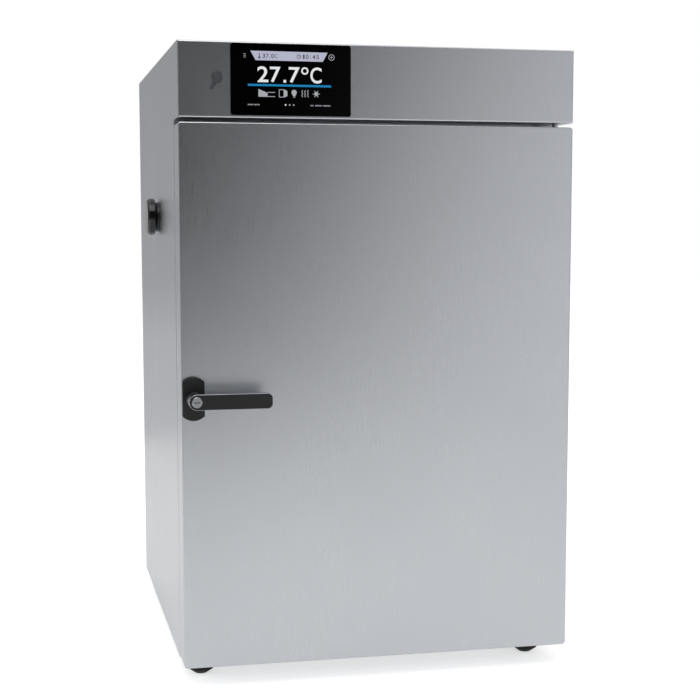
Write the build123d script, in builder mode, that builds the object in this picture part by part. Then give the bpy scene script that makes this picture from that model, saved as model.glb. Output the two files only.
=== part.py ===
from build123d import *
import math
import os

os.makedirs("parts", exist_ok=True)

# Laboratory incubator. Millimetres: X to the right, Y to the rear, Z up, and the floor is at zero.

# Overall sizes
WIDTH = 650.0
BODY_HEIGHT = 997.0
BODY_DEPTH = 735.0
FOOT_HEIGHT = 36.0
KNOB_REACH = 21.0
LEVER_REACH = 55.0

# The origin is on the floor, in the middle of the footprint that takes in the port's knob and the lever
MID = KNOB_REACH / 2
LEFT = MID - WIDTH / 2
RIGHT = MID + WIDTH / 2
FRONT = (LEVER_REACH - BODY_DEPTH) / 2
REAR = FRONT + BODY_DEPTH
BOTTOM = FOOT_HEIGHT
TOP = BOTTOM + BODY_HEIGHT

# Sheet metal
SHEET = 1.2
BEND = 2.5
FRONT_FLANGE = 8.0
FLANGE = 18.0
PLATE_INSET = SHEET + BEND

# Door and fascia
DOOR_THICKNESS = 60.0
DOOR_GAP = 9.0
DOOR_CORNER = 5.0
FASCIA_HEIGHT = 118.0
FASCIA_GAP = 6.5
FASCIA_DEPTH = 66.0
CABINET_FRONT = FRONT + DOOR_THICKNESS + DOOR_GAP
DOOR_BACK = FRONT + DOOR_THICKNESS
FASCIA_BOTTOM = TOP - FASCIA_HEIGHT
DOOR_TOP = FASCIA_BOTTOM - FASCIA_GAP
DOOR_HEIGHT = DOOR_TOP - BOTTOM

# Chamber
CHAMBER_WIDTH = 460.0
CHAMBER_HEIGHT = 540.0
CHAMBER_DEPTH = 450.0
DUCT_DEPTH = 70.0
CHAMBER_CORNER = 14.0
LINER = 1.0
INSULATION = 50.0
SLAB_JOINT = 0.5
CHAMBER_LEFT = MID - CHAMBER_WIDTH / 2
CHAMBER_RIGHT = MID + CHAMBER_WIDTH / 2
CHAMBER_FLOOR = BOTTOM + 265.0
CHAMBER_CEILING = CHAMBER_FLOOR + CHAMBER_HEIGHT
CHAMBER_BACK = CABINET_FRONT + CHAMBER_DEPTH + DUCT_DEPTH
BAFFLE_FRONT = CABINET_FRONT + CHAMBER_DEPTH
SLAB_FRONT = CABINET_FRONT + 2 * SHEET + SLAB_JOINT
SLAB_BACK = CHAMBER_BACK + LINER + SLAB_JOINT + INSULATION
SIDE_IN = CHAMBER_WIDTH / 2 + LINER + SLAB_JOINT
SIDE_OUT = SIDE_IN + INSULATION
SLAB_Z = (CHAMBER_FLOOR - LINER - INSULATION, CHAMBER_CEILING + LINER + INSULATION)

# Hinge pins: their axis stands inside the door's thickness, near its right edge
HINGE_X = RIGHT - 22.0
HINGE_Y = FRONT + 30.0
PIN_RADIUS = 3.0
BUSH_RADIUS = 7.0
RUNNING_FIT = 0.05

# Handle
HANDLE_X = MID - 306.2
HANDLE_Z = BOTTOM + 438.6
NECK_RADIUS = 11.9
LEVER_WIDTH = 24.5
LEVER_LENGTH = 118.9
LEVER_THICKNESS = 14.0
SPINDLE_RADIUS = 5.0
CAM_FRONT = CABINET_FRONT + 6.0
CAM_THICKNESS = 4.0

# Access port in the left side
PORT_Y = FRONT + 350.0
PORT_Z = BOTTOM + 727.0
PORT_RADIUS = 15.0
SLEEVE_RADIUS = 17.0

# Shelves
SHELF_HEIGHTS = [CHAMBER_FLOOR + 100.0, CHAMBER_FLOOR + 240.0, CHAMBER_FLOOR + 380.0]
FRAME_WIRE = 3.0
CROSS_WIRE = 1.5
UPRIGHT = 3.0
RUNNER_WIDTH = 14.0
SHELF_HALF = CHAMBER_WIDTH / 2 - UPRIGHT - 5.0

# Fan behind the baffle
FAN_Z = CHAMBER_FLOOR + 300.0
FAN_RADIUS = 75.0
SHAFT_RADIUS = 4.0

# Heater ring around the fan, cooling pipes and drain
HEATER_RADIUS = FAN_RADIUS + 22.0
HEATER_TUBE = 4.0
TAIL_SPREAD = 20.0
TAIL_Z = FAN_Z + math.sqrt(HEATER_RADIUS**2 - TAIL_SPREAD**2)
PIPE_RADIUS = 4.0
PIPE_X = MID + 150.0
PIPE_Z = [CHAMBER_FLOOR + 60.0, CHAMBER_FLOOR + 130.0]
DRAIN_RADIUS = 5.0
DRAIN_Y = CHAMBER_BACK - 35.0

# Feet
FOOT_SPREAD = 287.0
FOOT_INSET = 100.0


def front_plane(y):
    """A plane seen from the front, X to the right and Z up; a negative extrusion goes to the rear."""
    return Plane.XZ.offset(-y)


def side_plane(x):
    """A plane seen from the right, Y to the rear and Z up; a positive extrusion goes to the right."""
    return Plane.YZ.offset(x)


def level(z):
    """A level plane; a positive extrusion goes up."""
    return Plane.XY.offset(z)


def block(x, y, z, mode=Mode.ADD):
    """A box from its low and high values along each axis."""
    with Locations(((x[0] + x[1]) / 2, (y[0] + y[1]) / 2, (z[0] + z[1]) / 2)):
        Box(x[1] - x[0], y[1] - y[0], z[1] - z[0], mode=mode)


def folded_sheet(corners, side, thickness=SHEET, bend=BEND):
    """A bent sheet's section: the outer face runs through the corners, and the metal is on one side."""
    with BuildLine() as outline:
        FilletPolyline(*corners, radius=bend)
        offset(amount=thickness, side=side)
    make_face(outline.edges())


def rectangle_between(x, z, rounded=0.0, mode=Mode.ADD):
    """A rectangle in a sketch from its low and high values, with rounded corners if asked."""
    with Locations(((x[0] + x[1]) / 2, (z[0] + z[1]) / 2)):
        if rounded:
            RectangleRounded(x[1] - x[0], z[1] - z[0], rounded, mode=mode)
        else:
            Rectangle(x[1] - x[0], z[1] - z[0], mode=mode)


# Left side panel: one sheet folded in at the front and the rear, with the port's hole
with BuildPart() as left_side_panel:
    with BuildSketch(level(BOTTOM)):
        folded_sheet(
            [
                (LEFT + FRONT_FLANGE, CABINET_FRONT),
                (LEFT, CABINET_FRONT),
                (LEFT, REAR),
                (LEFT + FLANGE, REAR),
            ],
            Side.RIGHT,
        )
    extrude(amount=BODY_HEIGHT)
    with BuildSketch(side_plane(LEFT)):
        with Locations((PORT_Y, PORT_Z)):
            Circle(SLEEVE_RADIUS)
    extrude(amount=2 * SHEET, mode=Mode.SUBTRACT)
left_side_panel.part.label = "left_side_panel"
export_step(left_side_panel.part, "parts/left_side_panel.step")

# Right side panel: the same folds, mirrored, and no hole
with BuildPart() as right_side_panel:
    with BuildSketch(level(BOTTOM)):
        folded_sheet(
            [
                (RIGHT - FRONT_FLANGE, CABINET_FRONT),
                (RIGHT, CABINET_FRONT),
                (RIGHT, REAR),
                (RIGHT - FLANGE, REAR),
            ],
            Side.LEFT,
        )
    extrude(amount=BODY_HEIGHT)
right_side_panel.part.label = "right_side_panel"
export_step(right_side_panel.part, "parts/right_side_panel.step")

# Top panel: it lies between the sides, with its left and right edges folded down
with BuildPart() as top_panel:
    with BuildSketch(front_plane(CABINET_FRONT + 2 * SHEET)):
        folded_sheet(
            [
                (LEFT + SHEET, TOP - FLANGE),
                (LEFT + SHEET, TOP),
                (RIGHT - SHEET, TOP),
                (RIGHT - SHEET, TOP - FLANGE),
            ],
            Side.RIGHT,
        )
    extrude(amount=-(REAR - CABINET_FRONT - 4 * SHEET))
top_panel.part.label = "top_panel"
export_step(top_panel.part, "parts/top_panel.step")

# Rear panel: behind the sides' flanges, with louvre slots for the condenser and cut-outs for the mains
LOUVRE_LENGTH = 100.0
LOUVRE_WIDTH = 4.0
LOUVRE_PITCH = 12.0
LOUVRE_ROWS = 14
LOUVRE_Z = BOTTOM + 135.0
LOUVRE_X = MID - 90.0
MAINS_X = MID + 235.0
MAINS_Z = BOTTOM + 150.0
MAINS_SIZE = (27.0, 76.0)
DRAIN_X = MID + 120.0
DRAIN_Z = SLAB_Z[0] - 18.0
with BuildPart() as rear_panel:
    with BuildSketch(front_plane(REAR - 2 * SHEET)):
        rectangle_between((LEFT + PLATE_INSET, RIGHT - PLATE_INSET), (BOTTOM + SHEET, TOP - 2 * SHEET))
        with Locations((LOUVRE_X, LOUVRE_Z)):
            with GridLocations(LOUVRE_LENGTH + 20.0, LOUVRE_PITCH, 3, LOUVRE_ROWS):
                SlotOverall(LOUVRE_LENGTH, LOUVRE_WIDTH, mode=Mode.SUBTRACT)
        with Locations((MAINS_X, MAINS_Z)):
            Rectangle(MAINS_SIZE[0] + 0.6, MAINS_SIZE[1] + 0.6, mode=Mode.SUBTRACT)
        with Locations((DRAIN_X, DRAIN_Z)):
            Circle(DRAIN_RADIUS + 0.5, mode=Mode.SUBTRACT)
    extrude(amount=-SHEET)
rear_panel.part.label = "rear_panel"
export_step(rear_panel.part, "parts/rear_panel.step")

# Base pan: a tray that the body stands on, with turned-up edges, an air intake and four weld nuts
NUT_HEIGHT = 10.0
PAN_THICKNESS = 2.0
PAN_HEIGHT = 28.0
PAN_X = (LEFT + 2 * SHEET, RIGHT - 2 * SHEET)
PAN_Y = (CABINET_FRONT + 2 * SHEET, REAR - 2 * SHEET)
FOOT_X = [MID - FOOT_SPREAD, MID + FOOT_SPREAD]
FOOT_Y = [FRONT + FOOT_INSET, REAR - FOOT_INSET]
STUD_RADIUS = 5.0
with BuildPart() as base_pan:
    with BuildSketch(level(BOTTOM)):
        rectangle_between(PAN_X, PAN_Y)
    extrude(amount=PAN_HEIGHT)
    with BuildSketch(level(BOTTOM + PAN_THICKNESS)):
        rectangle_between(
            (PAN_X[0] + PAN_THICKNESS, PAN_X[1] - PAN_THICKNESS),
            (PAN_Y[0] + PAN_THICKNESS, PAN_Y[1] - PAN_THICKNESS),
            4.0,
        )
    extrude(amount=PAN_HEIGHT, mode=Mode.SUBTRACT)
    with BuildSketch(level(BOTTOM + PAN_THICKNESS)):
        with Locations([(x, y) for x in FOOT_X for y in FOOT_Y]):
            RegularPolygon(10.0, 6)
    extrude(amount=NUT_HEIGHT)
    with BuildSketch(level(BOTTOM)):
        with Locations([(x, y) for x in FOOT_X for y in FOOT_Y]):
            Circle(STUD_RADIUS + RUNNING_FIT)
    extrude(amount=PAN_THICKNESS + NUT_HEIGHT, mode=Mode.SUBTRACT)
    with BuildSketch(level(BOTTOM)):
        with Locations((MID, FRONT + 190.0)):
            with GridLocations(130.0, 14.0, 3, 5):
                SlotOverall(110.0, 4.0)
    extrude(amount=PAN_THICKNESS, mode=Mode.SUBTRACT)
base_pan.part.label = "base_pan"
export_step(base_pan.part, "parts/base_pan.step")

# Feet: a round pad with a straight wall, a coned underside and a flat tread, turned on a threaded stud
PAD_RADIUS = 21.0
TREAD_RADIUS = 10.3
CONE_HEIGHT = 7.5
PAD_HEIGHT = FOOT_HEIGHT - 4.0
for index, (foot_x, foot_y) in enumerate([(x, y) for y in FOOT_Y for x in FOOT_X], start=1):
    with BuildPart() as foot:
        with BuildSketch(front_plane(foot_y)):
            with BuildLine():
                Polyline(
                    (foot_x, 0),
                    (foot_x + TREAD_RADIUS, 0),
                    (foot_x + PAD_RADIUS, CONE_HEIGHT),
                    (foot_x + PAD_RADIUS, PAD_HEIGHT - 2.0),
                    (foot_x + PAD_RADIUS - 2.0, PAD_HEIGHT),
                    (foot_x + STUD_RADIUS, PAD_HEIGHT),
                    (foot_x + STUD_RADIUS, BOTTOM + PAN_THICKNESS + NUT_HEIGHT + 8.0),
                    (foot_x, BOTTOM + PAN_THICKNESS + NUT_HEIGHT + 8.0),
                    close=True,
                )
            make_face()
        revolve(axis=Axis((foot_x, foot_y, 0), (0, 0, 1)))
    foot.part.label = f"foot_{index}"
    export_step(foot.part, f"parts/foot_{index}.step")

# Front frame: the plate that the door closes on, with the chamber's mouth, the latch's slot and a lip
# that stands forward into the fascia and closes the shadow gap behind it
LIP_INSET = 8.5
LIP_TOP = TOP - 3.0
LIP_REACH = 12.0
SLOT_X = (HANDLE_X - 10.5, HANDLE_X + 10.5)
SLOT_Z = (HANDLE_Z - 12.0, HANDLE_Z + 30.0)
with BuildPart() as front_frame:
    with BuildSketch(front_plane(CABINET_FRONT + SHEET)):
        rectangle_between((LEFT + PLATE_INSET, RIGHT - PLATE_INSET), (BOTTOM, TOP - SHEET))
        rectangle_between(
            (CHAMBER_LEFT - LINER, CHAMBER_RIGHT + LINER),
            (CHAMBER_FLOOR - LINER, CHAMBER_CEILING + LINER),
            CHAMBER_CORNER + LINER,
            mode=Mode.SUBTRACT,
        )
        rectangle_between(SLOT_X, SLOT_Z, 3.0, mode=Mode.SUBTRACT)
        with Locations((MID - 146.0, FASCIA_BOTTOM + FASCIA_HEIGHT / 2)):
            RectangleRounded(90.0, 50.0, 6.0, mode=Mode.SUBTRACT)
    extrude(amount=-SHEET)
    with BuildSketch(front_plane(CABINET_FRONT + SHEET)):
        rectangle_between((LEFT + LIP_INSET, RIGHT - LIP_INSET), (FASCIA_BOTTOM + LIP_INSET, LIP_TOP))
        rectangle_between(
            (LEFT + LIP_INSET + SHEET, RIGHT - LIP_INSET - SHEET),
            (FASCIA_BOTTOM, LIP_TOP - SHEET),
            mode=Mode.SUBTRACT,
        )
    extrude(amount=LIP_REACH)
front_frame.part.label = "front_frame"
export_step(front_frame.part, "parts/front_frame.step")

# Inner chamber: a welded stainless box with rounded corners, open at the front
with BuildPart() as inner_chamber:
    with BuildSketch(front_plane(CABINET_FRONT + SHEET)):
        rectangle_between(
            (CHAMBER_LEFT - LINER, CHAMBER_RIGHT + LINER),
            (CHAMBER_FLOOR - LINER, CHAMBER_CEILING + LINER),
            CHAMBER_CORNER + LINER,
        )
    extrude(amount=-(CHAMBER_BACK + LINER - CABINET_FRONT - SHEET))
    with BuildSketch(front_plane(CABINET_FRONT + SHEET)):
        rectangle_between(
            (CHAMBER_LEFT, CHAMBER_RIGHT), (CHAMBER_FLOOR, CHAMBER_CEILING), CHAMBER_CORNER
        )
    extrude(amount=-(CHAMBER_BACK - CABINET_FRONT - SHEET), mode=Mode.SUBTRACT)
    with BuildSketch(side_plane(CHAMBER_LEFT - 2 * LINER)):
        with Locations((PORT_Y, PORT_Z)):
            Circle(SLEEVE_RADIUS)
    extrude(amount=4 * LINER, mode=Mode.SUBTRACT)
    with BuildSketch(front_plane(CHAMBER_BACK - LINER)):
        with Locations((MID, FAN_Z)):
            Circle(7.0)
        with Locations((MID - TAIL_SPREAD, TAIL_Z), (MID + TAIL_SPREAD, TAIL_Z)):
            Circle(HEATER_TUBE + 0.5)
        with Locations([(PIPE_X, z) for z in PIPE_Z]):
            Circle(PIPE_RADIUS + 0.5)
    extrude(amount=-3 * LINER, mode=Mode.SUBTRACT)
    with BuildSketch(level(CHAMBER_FLOOR - 2 * LINER)):
        with Locations((MID, DRAIN_Y)):
            Circle(DRAIN_RADIUS + 0.5)
    extrude(amount=4 * LINER, mode=Mode.SUBTRACT)
inner_chamber.part.label = "inner_chamber"
export_step(inner_chamber.part, "parts/inner_chamber.step")

# Side insulation: a slab of mineral wool on each side of the chamber, the left one bored for the port
with BuildPart() as side_insulation:
    block((MID - SIDE_OUT, MID - SIDE_IN), (SLAB_FRONT, SLAB_BACK), SLAB_Z)
    block((MID + SIDE_IN, MID + SIDE_OUT), (SLAB_FRONT, SLAB_BACK), SLAB_Z)
    with BuildSketch(side_plane(MID - SIDE_OUT)):
        with Locations((PORT_Y, PORT_Z)):
            Circle(SLEEVE_RADIUS + 0.5)
    extrude(amount=INSULATION, mode=Mode.SUBTRACT)
side_insulation.part.label = "side_insulation"
export_step(side_insulation.part, "parts/side_insulation.step")

# Insulation: slabs over, under and behind the chamber, cut out for the drain, the shaft and the pipes
BETWEEN = (MID - SIDE_IN + SLAB_JOINT, MID + SIDE_IN - SLAB_JOINT)
with BuildPart() as insulation:
    block(BETWEEN, (SLAB_FRONT, CHAMBER_BACK), (CHAMBER_CEILING + LINER, SLAB_Z[1]))
    block(BETWEEN, (SLAB_FRONT, CHAMBER_BACK), (SLAB_Z[0], CHAMBER_FLOOR - LINER))
    with BuildSketch(level(SLAB_Z[0])):
        with Locations((MID, DRAIN_Y)):
            Circle(DRAIN_RADIUS + 1.0)
    extrude(amount=INSULATION, mode=Mode.SUBTRACT)
    with BuildSketch(front_plane(CHAMBER_BACK + LINER + SLAB_JOINT)):
        rectangle_between(BETWEEN, SLAB_Z)
        with Locations((MID, FAN_Z)):
            Circle(8.0, mode=Mode.SUBTRACT)
        with Locations((MID - TAIL_SPREAD, TAIL_Z), (MID + TAIL_SPREAD, TAIL_Z)):
            Circle(HEATER_TUBE + 1.0, mode=Mode.SUBTRACT)
        with Locations([(PIPE_X, z) for z in PIPE_Z]):
            Circle(PIPE_RADIUS + 1.0, mode=Mode.SUBTRACT)
    extrude(amount=-INSULATION)
insulation.part.label = "insulation"
export_step(insulation.part, "parts/insulation.step")

# Shelf uprights: slotted strips near the chamber's corners
UPRIGHT_WIDTH = 18.0
UPRIGHT_Z = (CHAMBER_FLOOR + 40.0, CHAMBER_CEILING - 40.0)
UPRIGHT_Y = [CABINET_FRONT + 60.0, CABINET_FRONT + 390.0]
UPRIGHT_MIDDLE = (UPRIGHT_Z[0] + UPRIGHT_Z[1]) / 2
with BuildPart() as shelf_uprights:
    for wall_x in (CHAMBER_LEFT, CHAMBER_RIGHT - UPRIGHT):
        with BuildSketch(side_plane(wall_x)):
            for strip_y in UPRIGHT_Y:
                with Locations((strip_y, UPRIGHT_MIDDLE)):
                    Rectangle(UPRIGHT_WIDTH, UPRIGHT_Z[1] - UPRIGHT_Z[0])
                    with GridLocations(0, 32.0, 1, 14):
                        Rectangle(4.0, 14.0, mode=Mode.SUBTRACT)
        extrude(amount=UPRIGHT)
shelf_uprights.part.label = "shelf_uprights"
export_step(shelf_uprights.part, "parts/shelf_uprights.step")

# Shelf runners: channels on the uprights that the shelves' side wires slide in
RUNNER_Y = (CABINET_FRONT + 20.0, CABINET_FRONT + 436.0)
RUNNER_GAP = 0.5
RUNNER_HALF = FRAME_WIRE + RUNNER_GAP + SHEET
with BuildPart() as shelf_runners:
    with BuildSketch(front_plane(RUNNER_Y[0])):
        for shelf_z in SHELF_HEIGHTS:
            for sign, side in ((-1, Side.RIGHT), (1, Side.LEFT)):
                wall = MID + sign * (CHAMBER_WIDTH / 2 - UPRIGHT)
                lip = wall - sign * RUNNER_WIDTH
                folded_sheet(
                    [
                        (lip, shelf_z - RUNNER_HALF),
                        (wall, shelf_z - RUNNER_HALF),
                        (wall, shelf_z + RUNNER_HALF),
                        (lip, shelf_z + RUNNER_HALF),
                    ],
                    side,
                    bend=1.5,
                )
    extrude(amount=-(RUNNER_Y[1] - RUNNER_Y[0]))
shelf_runners.part.label = "shelf_runners"
export_step(shelf_runners.part, "parts/shelf_runners.step")

# Shelves: a frame of thick wire with two stays and thin wires from front to back
SHELF_Y = (CABINET_FRONT + 18.0, CABINET_FRONT + 434.0)
SHELF_WIRES = 17
SHELF_MIDDLE = (SHELF_Y[0] + SHELF_Y[1]) / 2
for index, shelf_z in enumerate(SHELF_HEIGHTS, start=1):
    with BuildPart() as shelf:
        with Locations((MID, SHELF_MIDDLE, shelf_z)):
            with GridLocations(2 * SHELF_HALF, 0, 2, 1):
                Cylinder(FRAME_WIRE, SHELF_Y[1] - SHELF_Y[0] + 2 * FRAME_WIRE, rotation=(90, 0, 0))
            with GridLocations(0, SHELF_Y[1] - SHELF_Y[0], 1, 2):
                Cylinder(FRAME_WIRE - 0.4, 2 * SHELF_HALF, rotation=(0, 90, 0))
            with GridLocations(2 * SHELF_HALF / (SHELF_WIRES + 1), 0, SHELF_WIRES, 1):
                Cylinder(CROSS_WIRE, SHELF_Y[1] - SHELF_Y[0], rotation=(90, 0, 0))
    shelf.part.label = f"shelf_{index}"
    export_step(shelf.part, f"parts/shelf_{index}.step")

# Air baffle: the chamber's false back, with a star of slots before the fan and rows above and below
BAFFLE_EDGE = 2.0
BAFFLE_END = 8.0
BAFFLE_FOLD = 12.0
with BuildPart() as air_baffle:
    with BuildSketch(level(CHAMBER_FLOOR + BAFFLE_END)):
        folded_sheet(
            [
                (CHAMBER_LEFT + BAFFLE_EDGE, BAFFLE_FRONT + BAFFLE_FOLD),
                (CHAMBER_LEFT + BAFFLE_EDGE, BAFFLE_FRONT),
                (CHAMBER_RIGHT - BAFFLE_EDGE, BAFFLE_FRONT),
                (CHAMBER_RIGHT - BAFFLE_EDGE, BAFFLE_FRONT + BAFFLE_FOLD),
            ],
            Side.LEFT,
        )
    extrude(amount=CHAMBER_HEIGHT - 2 * BAFFLE_END)
    with BuildSketch(front_plane(BAFFLE_FRONT - SHEET)):
        with Locations((MID, FAN_Z)):
            with PolarLocations(22.0, 8):
                SlotOverall(22.0, 4.0)
            with PolarLocations(50.0, 24):
                SlotOverall(26.0, 4.0)
        with Locations((MID, CHAMBER_FLOOR + 30.0), (MID, CHAMBER_CEILING - 30.0)):
            with GridLocations(40.0, 0, 10, 1):
                SlotOverall(24.0, 4.0, rotation=90)
    extrude(amount=-3 * SHEET, mode=Mode.SUBTRACT)
air_baffle.part.label = "air_baffle"
export_step(air_baffle.part, "parts/air_baffle.step")

# Fan wheel: a ring of curved blades between a back plate with its hub and a front ring
FAN_Y = (BAFFLE_FRONT + 14.0, BAFFLE_FRONT + 50.0)
FAN_BLADES = 18
FAN_PLATE = 1.5
FAN_HUB = 10.0
BLADE_INNER = 48.0
BLADE_OUTER = FAN_RADIUS - 1.5
BLADE_LEAN = math.radians(22.0)
with BuildSketch() as blade_section:
    with BuildLine():
        RadiusArc(
            (BLADE_INNER, 0),
            (BLADE_OUTER * math.cos(BLADE_LEAN), BLADE_OUTER * math.sin(BLADE_LEAN)),
            40.0,
        )
        offset(amount=1.2, side=Side.LEFT)
    make_face()

with BuildPart() as fan_wheel:
    with BuildSketch(front_plane(FAN_Y[0])):
        with Locations((MID, FAN_Z)):
            with PolarLocations(0, FAN_BLADES):
                add(blade_section.sketch)
    extrude(amount=-(FAN_Y[1] - FAN_Y[0]))
    with BuildSketch(front_plane(FAN_Y[0])):
        with Locations((MID, FAN_Z)):
            Circle(FAN_RADIUS)
            Circle(BLADE_INNER + 4.0, mode=Mode.SUBTRACT)
    extrude(amount=-FAN_PLATE)
    with BuildSketch(front_plane(FAN_Y[1] - FAN_PLATE)):
        with Locations((MID, FAN_Z)):
            Circle(FAN_RADIUS)
            Circle(SHAFT_RADIUS, mode=Mode.SUBTRACT)
    extrude(amount=-FAN_PLATE)
    with BuildSketch(front_plane(FAN_Y[1] - 16.0)):
        with Locations((MID, FAN_Z)):
            Circle(FAN_HUB)
            Circle(SHAFT_RADIUS, mode=Mode.SUBTRACT)
    extrude(amount=-16.0)
fan_wheel.part.label = "fan_wheel"
export_step(fan_wheel.part, "parts/fan_wheel.step")

# Fan shaft: from the wheel's hub through the rear slab into the motor
MOTOR_FRONT = SLAB_BACK + 8.0
MOTOR_LENGTH = 42.0
with BuildPart() as fan_shaft:
    with BuildSketch(front_plane(FAN_Y[1] - 16.0)):
        with Locations((MID, FAN_Z)):
            Circle(SHAFT_RADIUS)
    extrude(amount=-(MOTOR_FRONT + MOTOR_LENGTH - 6.0 - FAN_Y[1] + 16.0))
fan_shaft.part.label = "fan_shaft"
export_step(fan_shaft.part, "parts/fan_shaft.step")

# Fan motor: a can on a bridge plate, bolted to the rear slab
MOTOR_RADIUS = 38.0
with BuildPart() as fan_motor:
    with BuildSketch(front_plane(MOTOR_FRONT)):
        with Locations((MID, FAN_Z)):
            Circle(MOTOR_RADIUS)
    extrude(amount=-MOTOR_LENGTH)
    fillet(fan_motor.faces().sort_by(Axis.Y)[-1].edges(), 6.0)
    with BuildSketch(front_plane(MOTOR_FRONT)):
        with Locations((MID, FAN_Z)):
            SlotOverall(140.0, 44.0)
    extrude(amount=-2.0)
    with BuildSketch(front_plane(SLAB_BACK)):
        with Locations((MID, FAN_Z)):
            with GridLocations(112.0, 0, 2, 1):
                Circle(6.0)
    extrude(amount=-(MOTOR_FRONT - SLAB_BACK))
    with BuildSketch(front_plane(MOTOR_FRONT)):
        with Locations((MID, FAN_Z)):
            Circle(SHAFT_RADIUS + RUNNING_FIT)
    extrude(amount=-(MOTOR_LENGTH - 4.0), mode=Mode.SUBTRACT)
fan_motor.part.label = "fan_motor"
export_step(fan_motor.part, "parts/fan_motor.step")

# Heater: a tubular ring around the fan wheel, with two tails through the chamber's back
HEATER_Y = BAFFLE_FRONT + 34.0
HEATER_GAP = math.degrees(math.asin(TAIL_SPREAD / HEATER_RADIUS))
with BuildPart() as heater:
    with BuildLine(front_plane(HEATER_Y)) as heater_path:
        CenterArc((MID, FAN_Z), HEATER_RADIUS, 90 + HEATER_GAP, 360 - 2 * HEATER_GAP)
    with BuildSketch(Plane(origin=heater_path.line @ 0, z_dir=heater_path.line % 0)):
        Circle(HEATER_TUBE)
    sweep(path=heater_path.line)
    with BuildSketch(front_plane(HEATER_Y)):
        with Locations((MID - TAIL_SPREAD, TAIL_Z), (MID + TAIL_SPREAD, TAIL_Z)):
            Circle(HEATER_TUBE)
    extrude(amount=-(SLAB_BACK + 12.0 - HEATER_Y))
heater.part.label = "heater"
export_step(heater.part, "parts/heater.step")

# Evaporator: a plate in the duct with a tube that runs to and fro, and two ends through the back
EVAPORATOR_Y = BAFFLE_FRONT + 44.0
EVAPORATOR_LEFT = MID - 180.0
EVAPORATOR_TURN = MID + 115.0
EVAPORATOR_STEP = (PIPE_Z[1] - PIPE_Z[0]) / 3
TUBE_BEND = 10.0
with BuildPart() as evaporator:
    with BuildLine() as serpentine:
        FilletPolyline(
            (PIPE_X, SLAB_BACK + 10.0, PIPE_Z[0]),
            (PIPE_X, EVAPORATOR_Y, PIPE_Z[0]),
            (EVAPORATOR_LEFT, EVAPORATOR_Y, PIPE_Z[0]),
            (EVAPORATOR_LEFT, EVAPORATOR_Y, PIPE_Z[0] + EVAPORATOR_STEP),
            (EVAPORATOR_TURN, EVAPORATOR_Y, PIPE_Z[0] + EVAPORATOR_STEP),
            (EVAPORATOR_TURN, EVAPORATOR_Y, PIPE_Z[1] - EVAPORATOR_STEP),
            (EVAPORATOR_LEFT, EVAPORATOR_Y, PIPE_Z[1] - EVAPORATOR_STEP),
            (EVAPORATOR_LEFT, EVAPORATOR_Y, PIPE_Z[1]),
            (PIPE_X, EVAPORATOR_Y, PIPE_Z[1]),
            (PIPE_X, SLAB_BACK + 10.0, PIPE_Z[1]),
            radius=TUBE_BEND,
        )
    with BuildSketch(Plane(origin=serpentine.line @ 0, z_dir=serpentine.line % 0)):
        Circle(PIPE_RADIUS)
    sweep(path=serpentine.line)
    block(
        (EVAPORATOR_LEFT - 12.0, EVAPORATOR_TURN + 12.0),
        (EVAPORATOR_Y + 2.5, EVAPORATOR_Y + 4.5),
        (PIPE_Z[0] - 16.0, PIPE_Z[1] + 16.0),
    )
evaporator.part.label = "evaporator"
export_step(evaporator.part, "parts/evaporator.step")

# Temperature probe: a thin rod through the baffle, with a collar
PROBE_X = MID + 120.0
PROBE_Z = CHAMBER_CEILING - 120.0
PROBE_RADIUS = 2.5
with BuildPart() as temperature_probe:
    with BuildSketch(front_plane(BAFFLE_FRONT - 40.0)):
        with Locations((PROBE_X, PROBE_Z)):
            Circle(PROBE_RADIUS)
    extrude(amount=-40.0)
    fillet(temperature_probe.faces().sort_by(Axis.Y)[0].edges(), 2.0)
    with BuildSketch(front_plane(BAFFLE_FRONT - 5.0)):
        with Locations((PROBE_X, PROBE_Z)):
            Circle(6.0)
    extrude(amount=-5.0)
temperature_probe.part.label = "temperature_probe"
export_step(temperature_probe.part, "parts/temperature_probe.step")

# Chamber lamp: a shallow bar on the chamber's ceiling, behind the mouth
with BuildPart() as chamber_lamp:
    with BuildSketch(level(CHAMBER_CEILING - 9.0)):
        with Locations((MID, CABINET_FRONT + 36.0)):
            SlotOverall(220.0, 20.0)
    extrude(amount=9.0)
    fillet(chamber_lamp.faces().sort_by(Axis.Z)[0].edges(), 3.0)
chamber_lamp.part.label = "chamber_lamp"
export_step(chamber_lamp.part, "parts/chamber_lamp.step")

# Drain tube: from the duct's floor to a spout on the rear panel
DRAIN_TURN_Y = SLAB_BACK + 22.0
SPOUT_REACH = 11.0
with BuildPart() as drain_tube:
    with BuildLine() as drain_path:
        FilletPolyline(
            (MID, DRAIN_Y, CHAMBER_FLOOR),
            (MID, DRAIN_Y, DRAIN_Z),
            (MID, DRAIN_TURN_Y, DRAIN_Z),
            (DRAIN_X, DRAIN_TURN_Y, DRAIN_Z),
            (DRAIN_X, REAR + SPOUT_REACH, DRAIN_Z),
            radius=14.0,
        )
    with BuildSketch(Plane(origin=drain_path.line @ 0, z_dir=drain_path.line % 0)):
        Circle(DRAIN_RADIUS)
    sweep(path=drain_path.line)
drain_tube.part.label = "drain_tube"
export_step(drain_tube.part, "parts/drain_tube.step")

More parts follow.
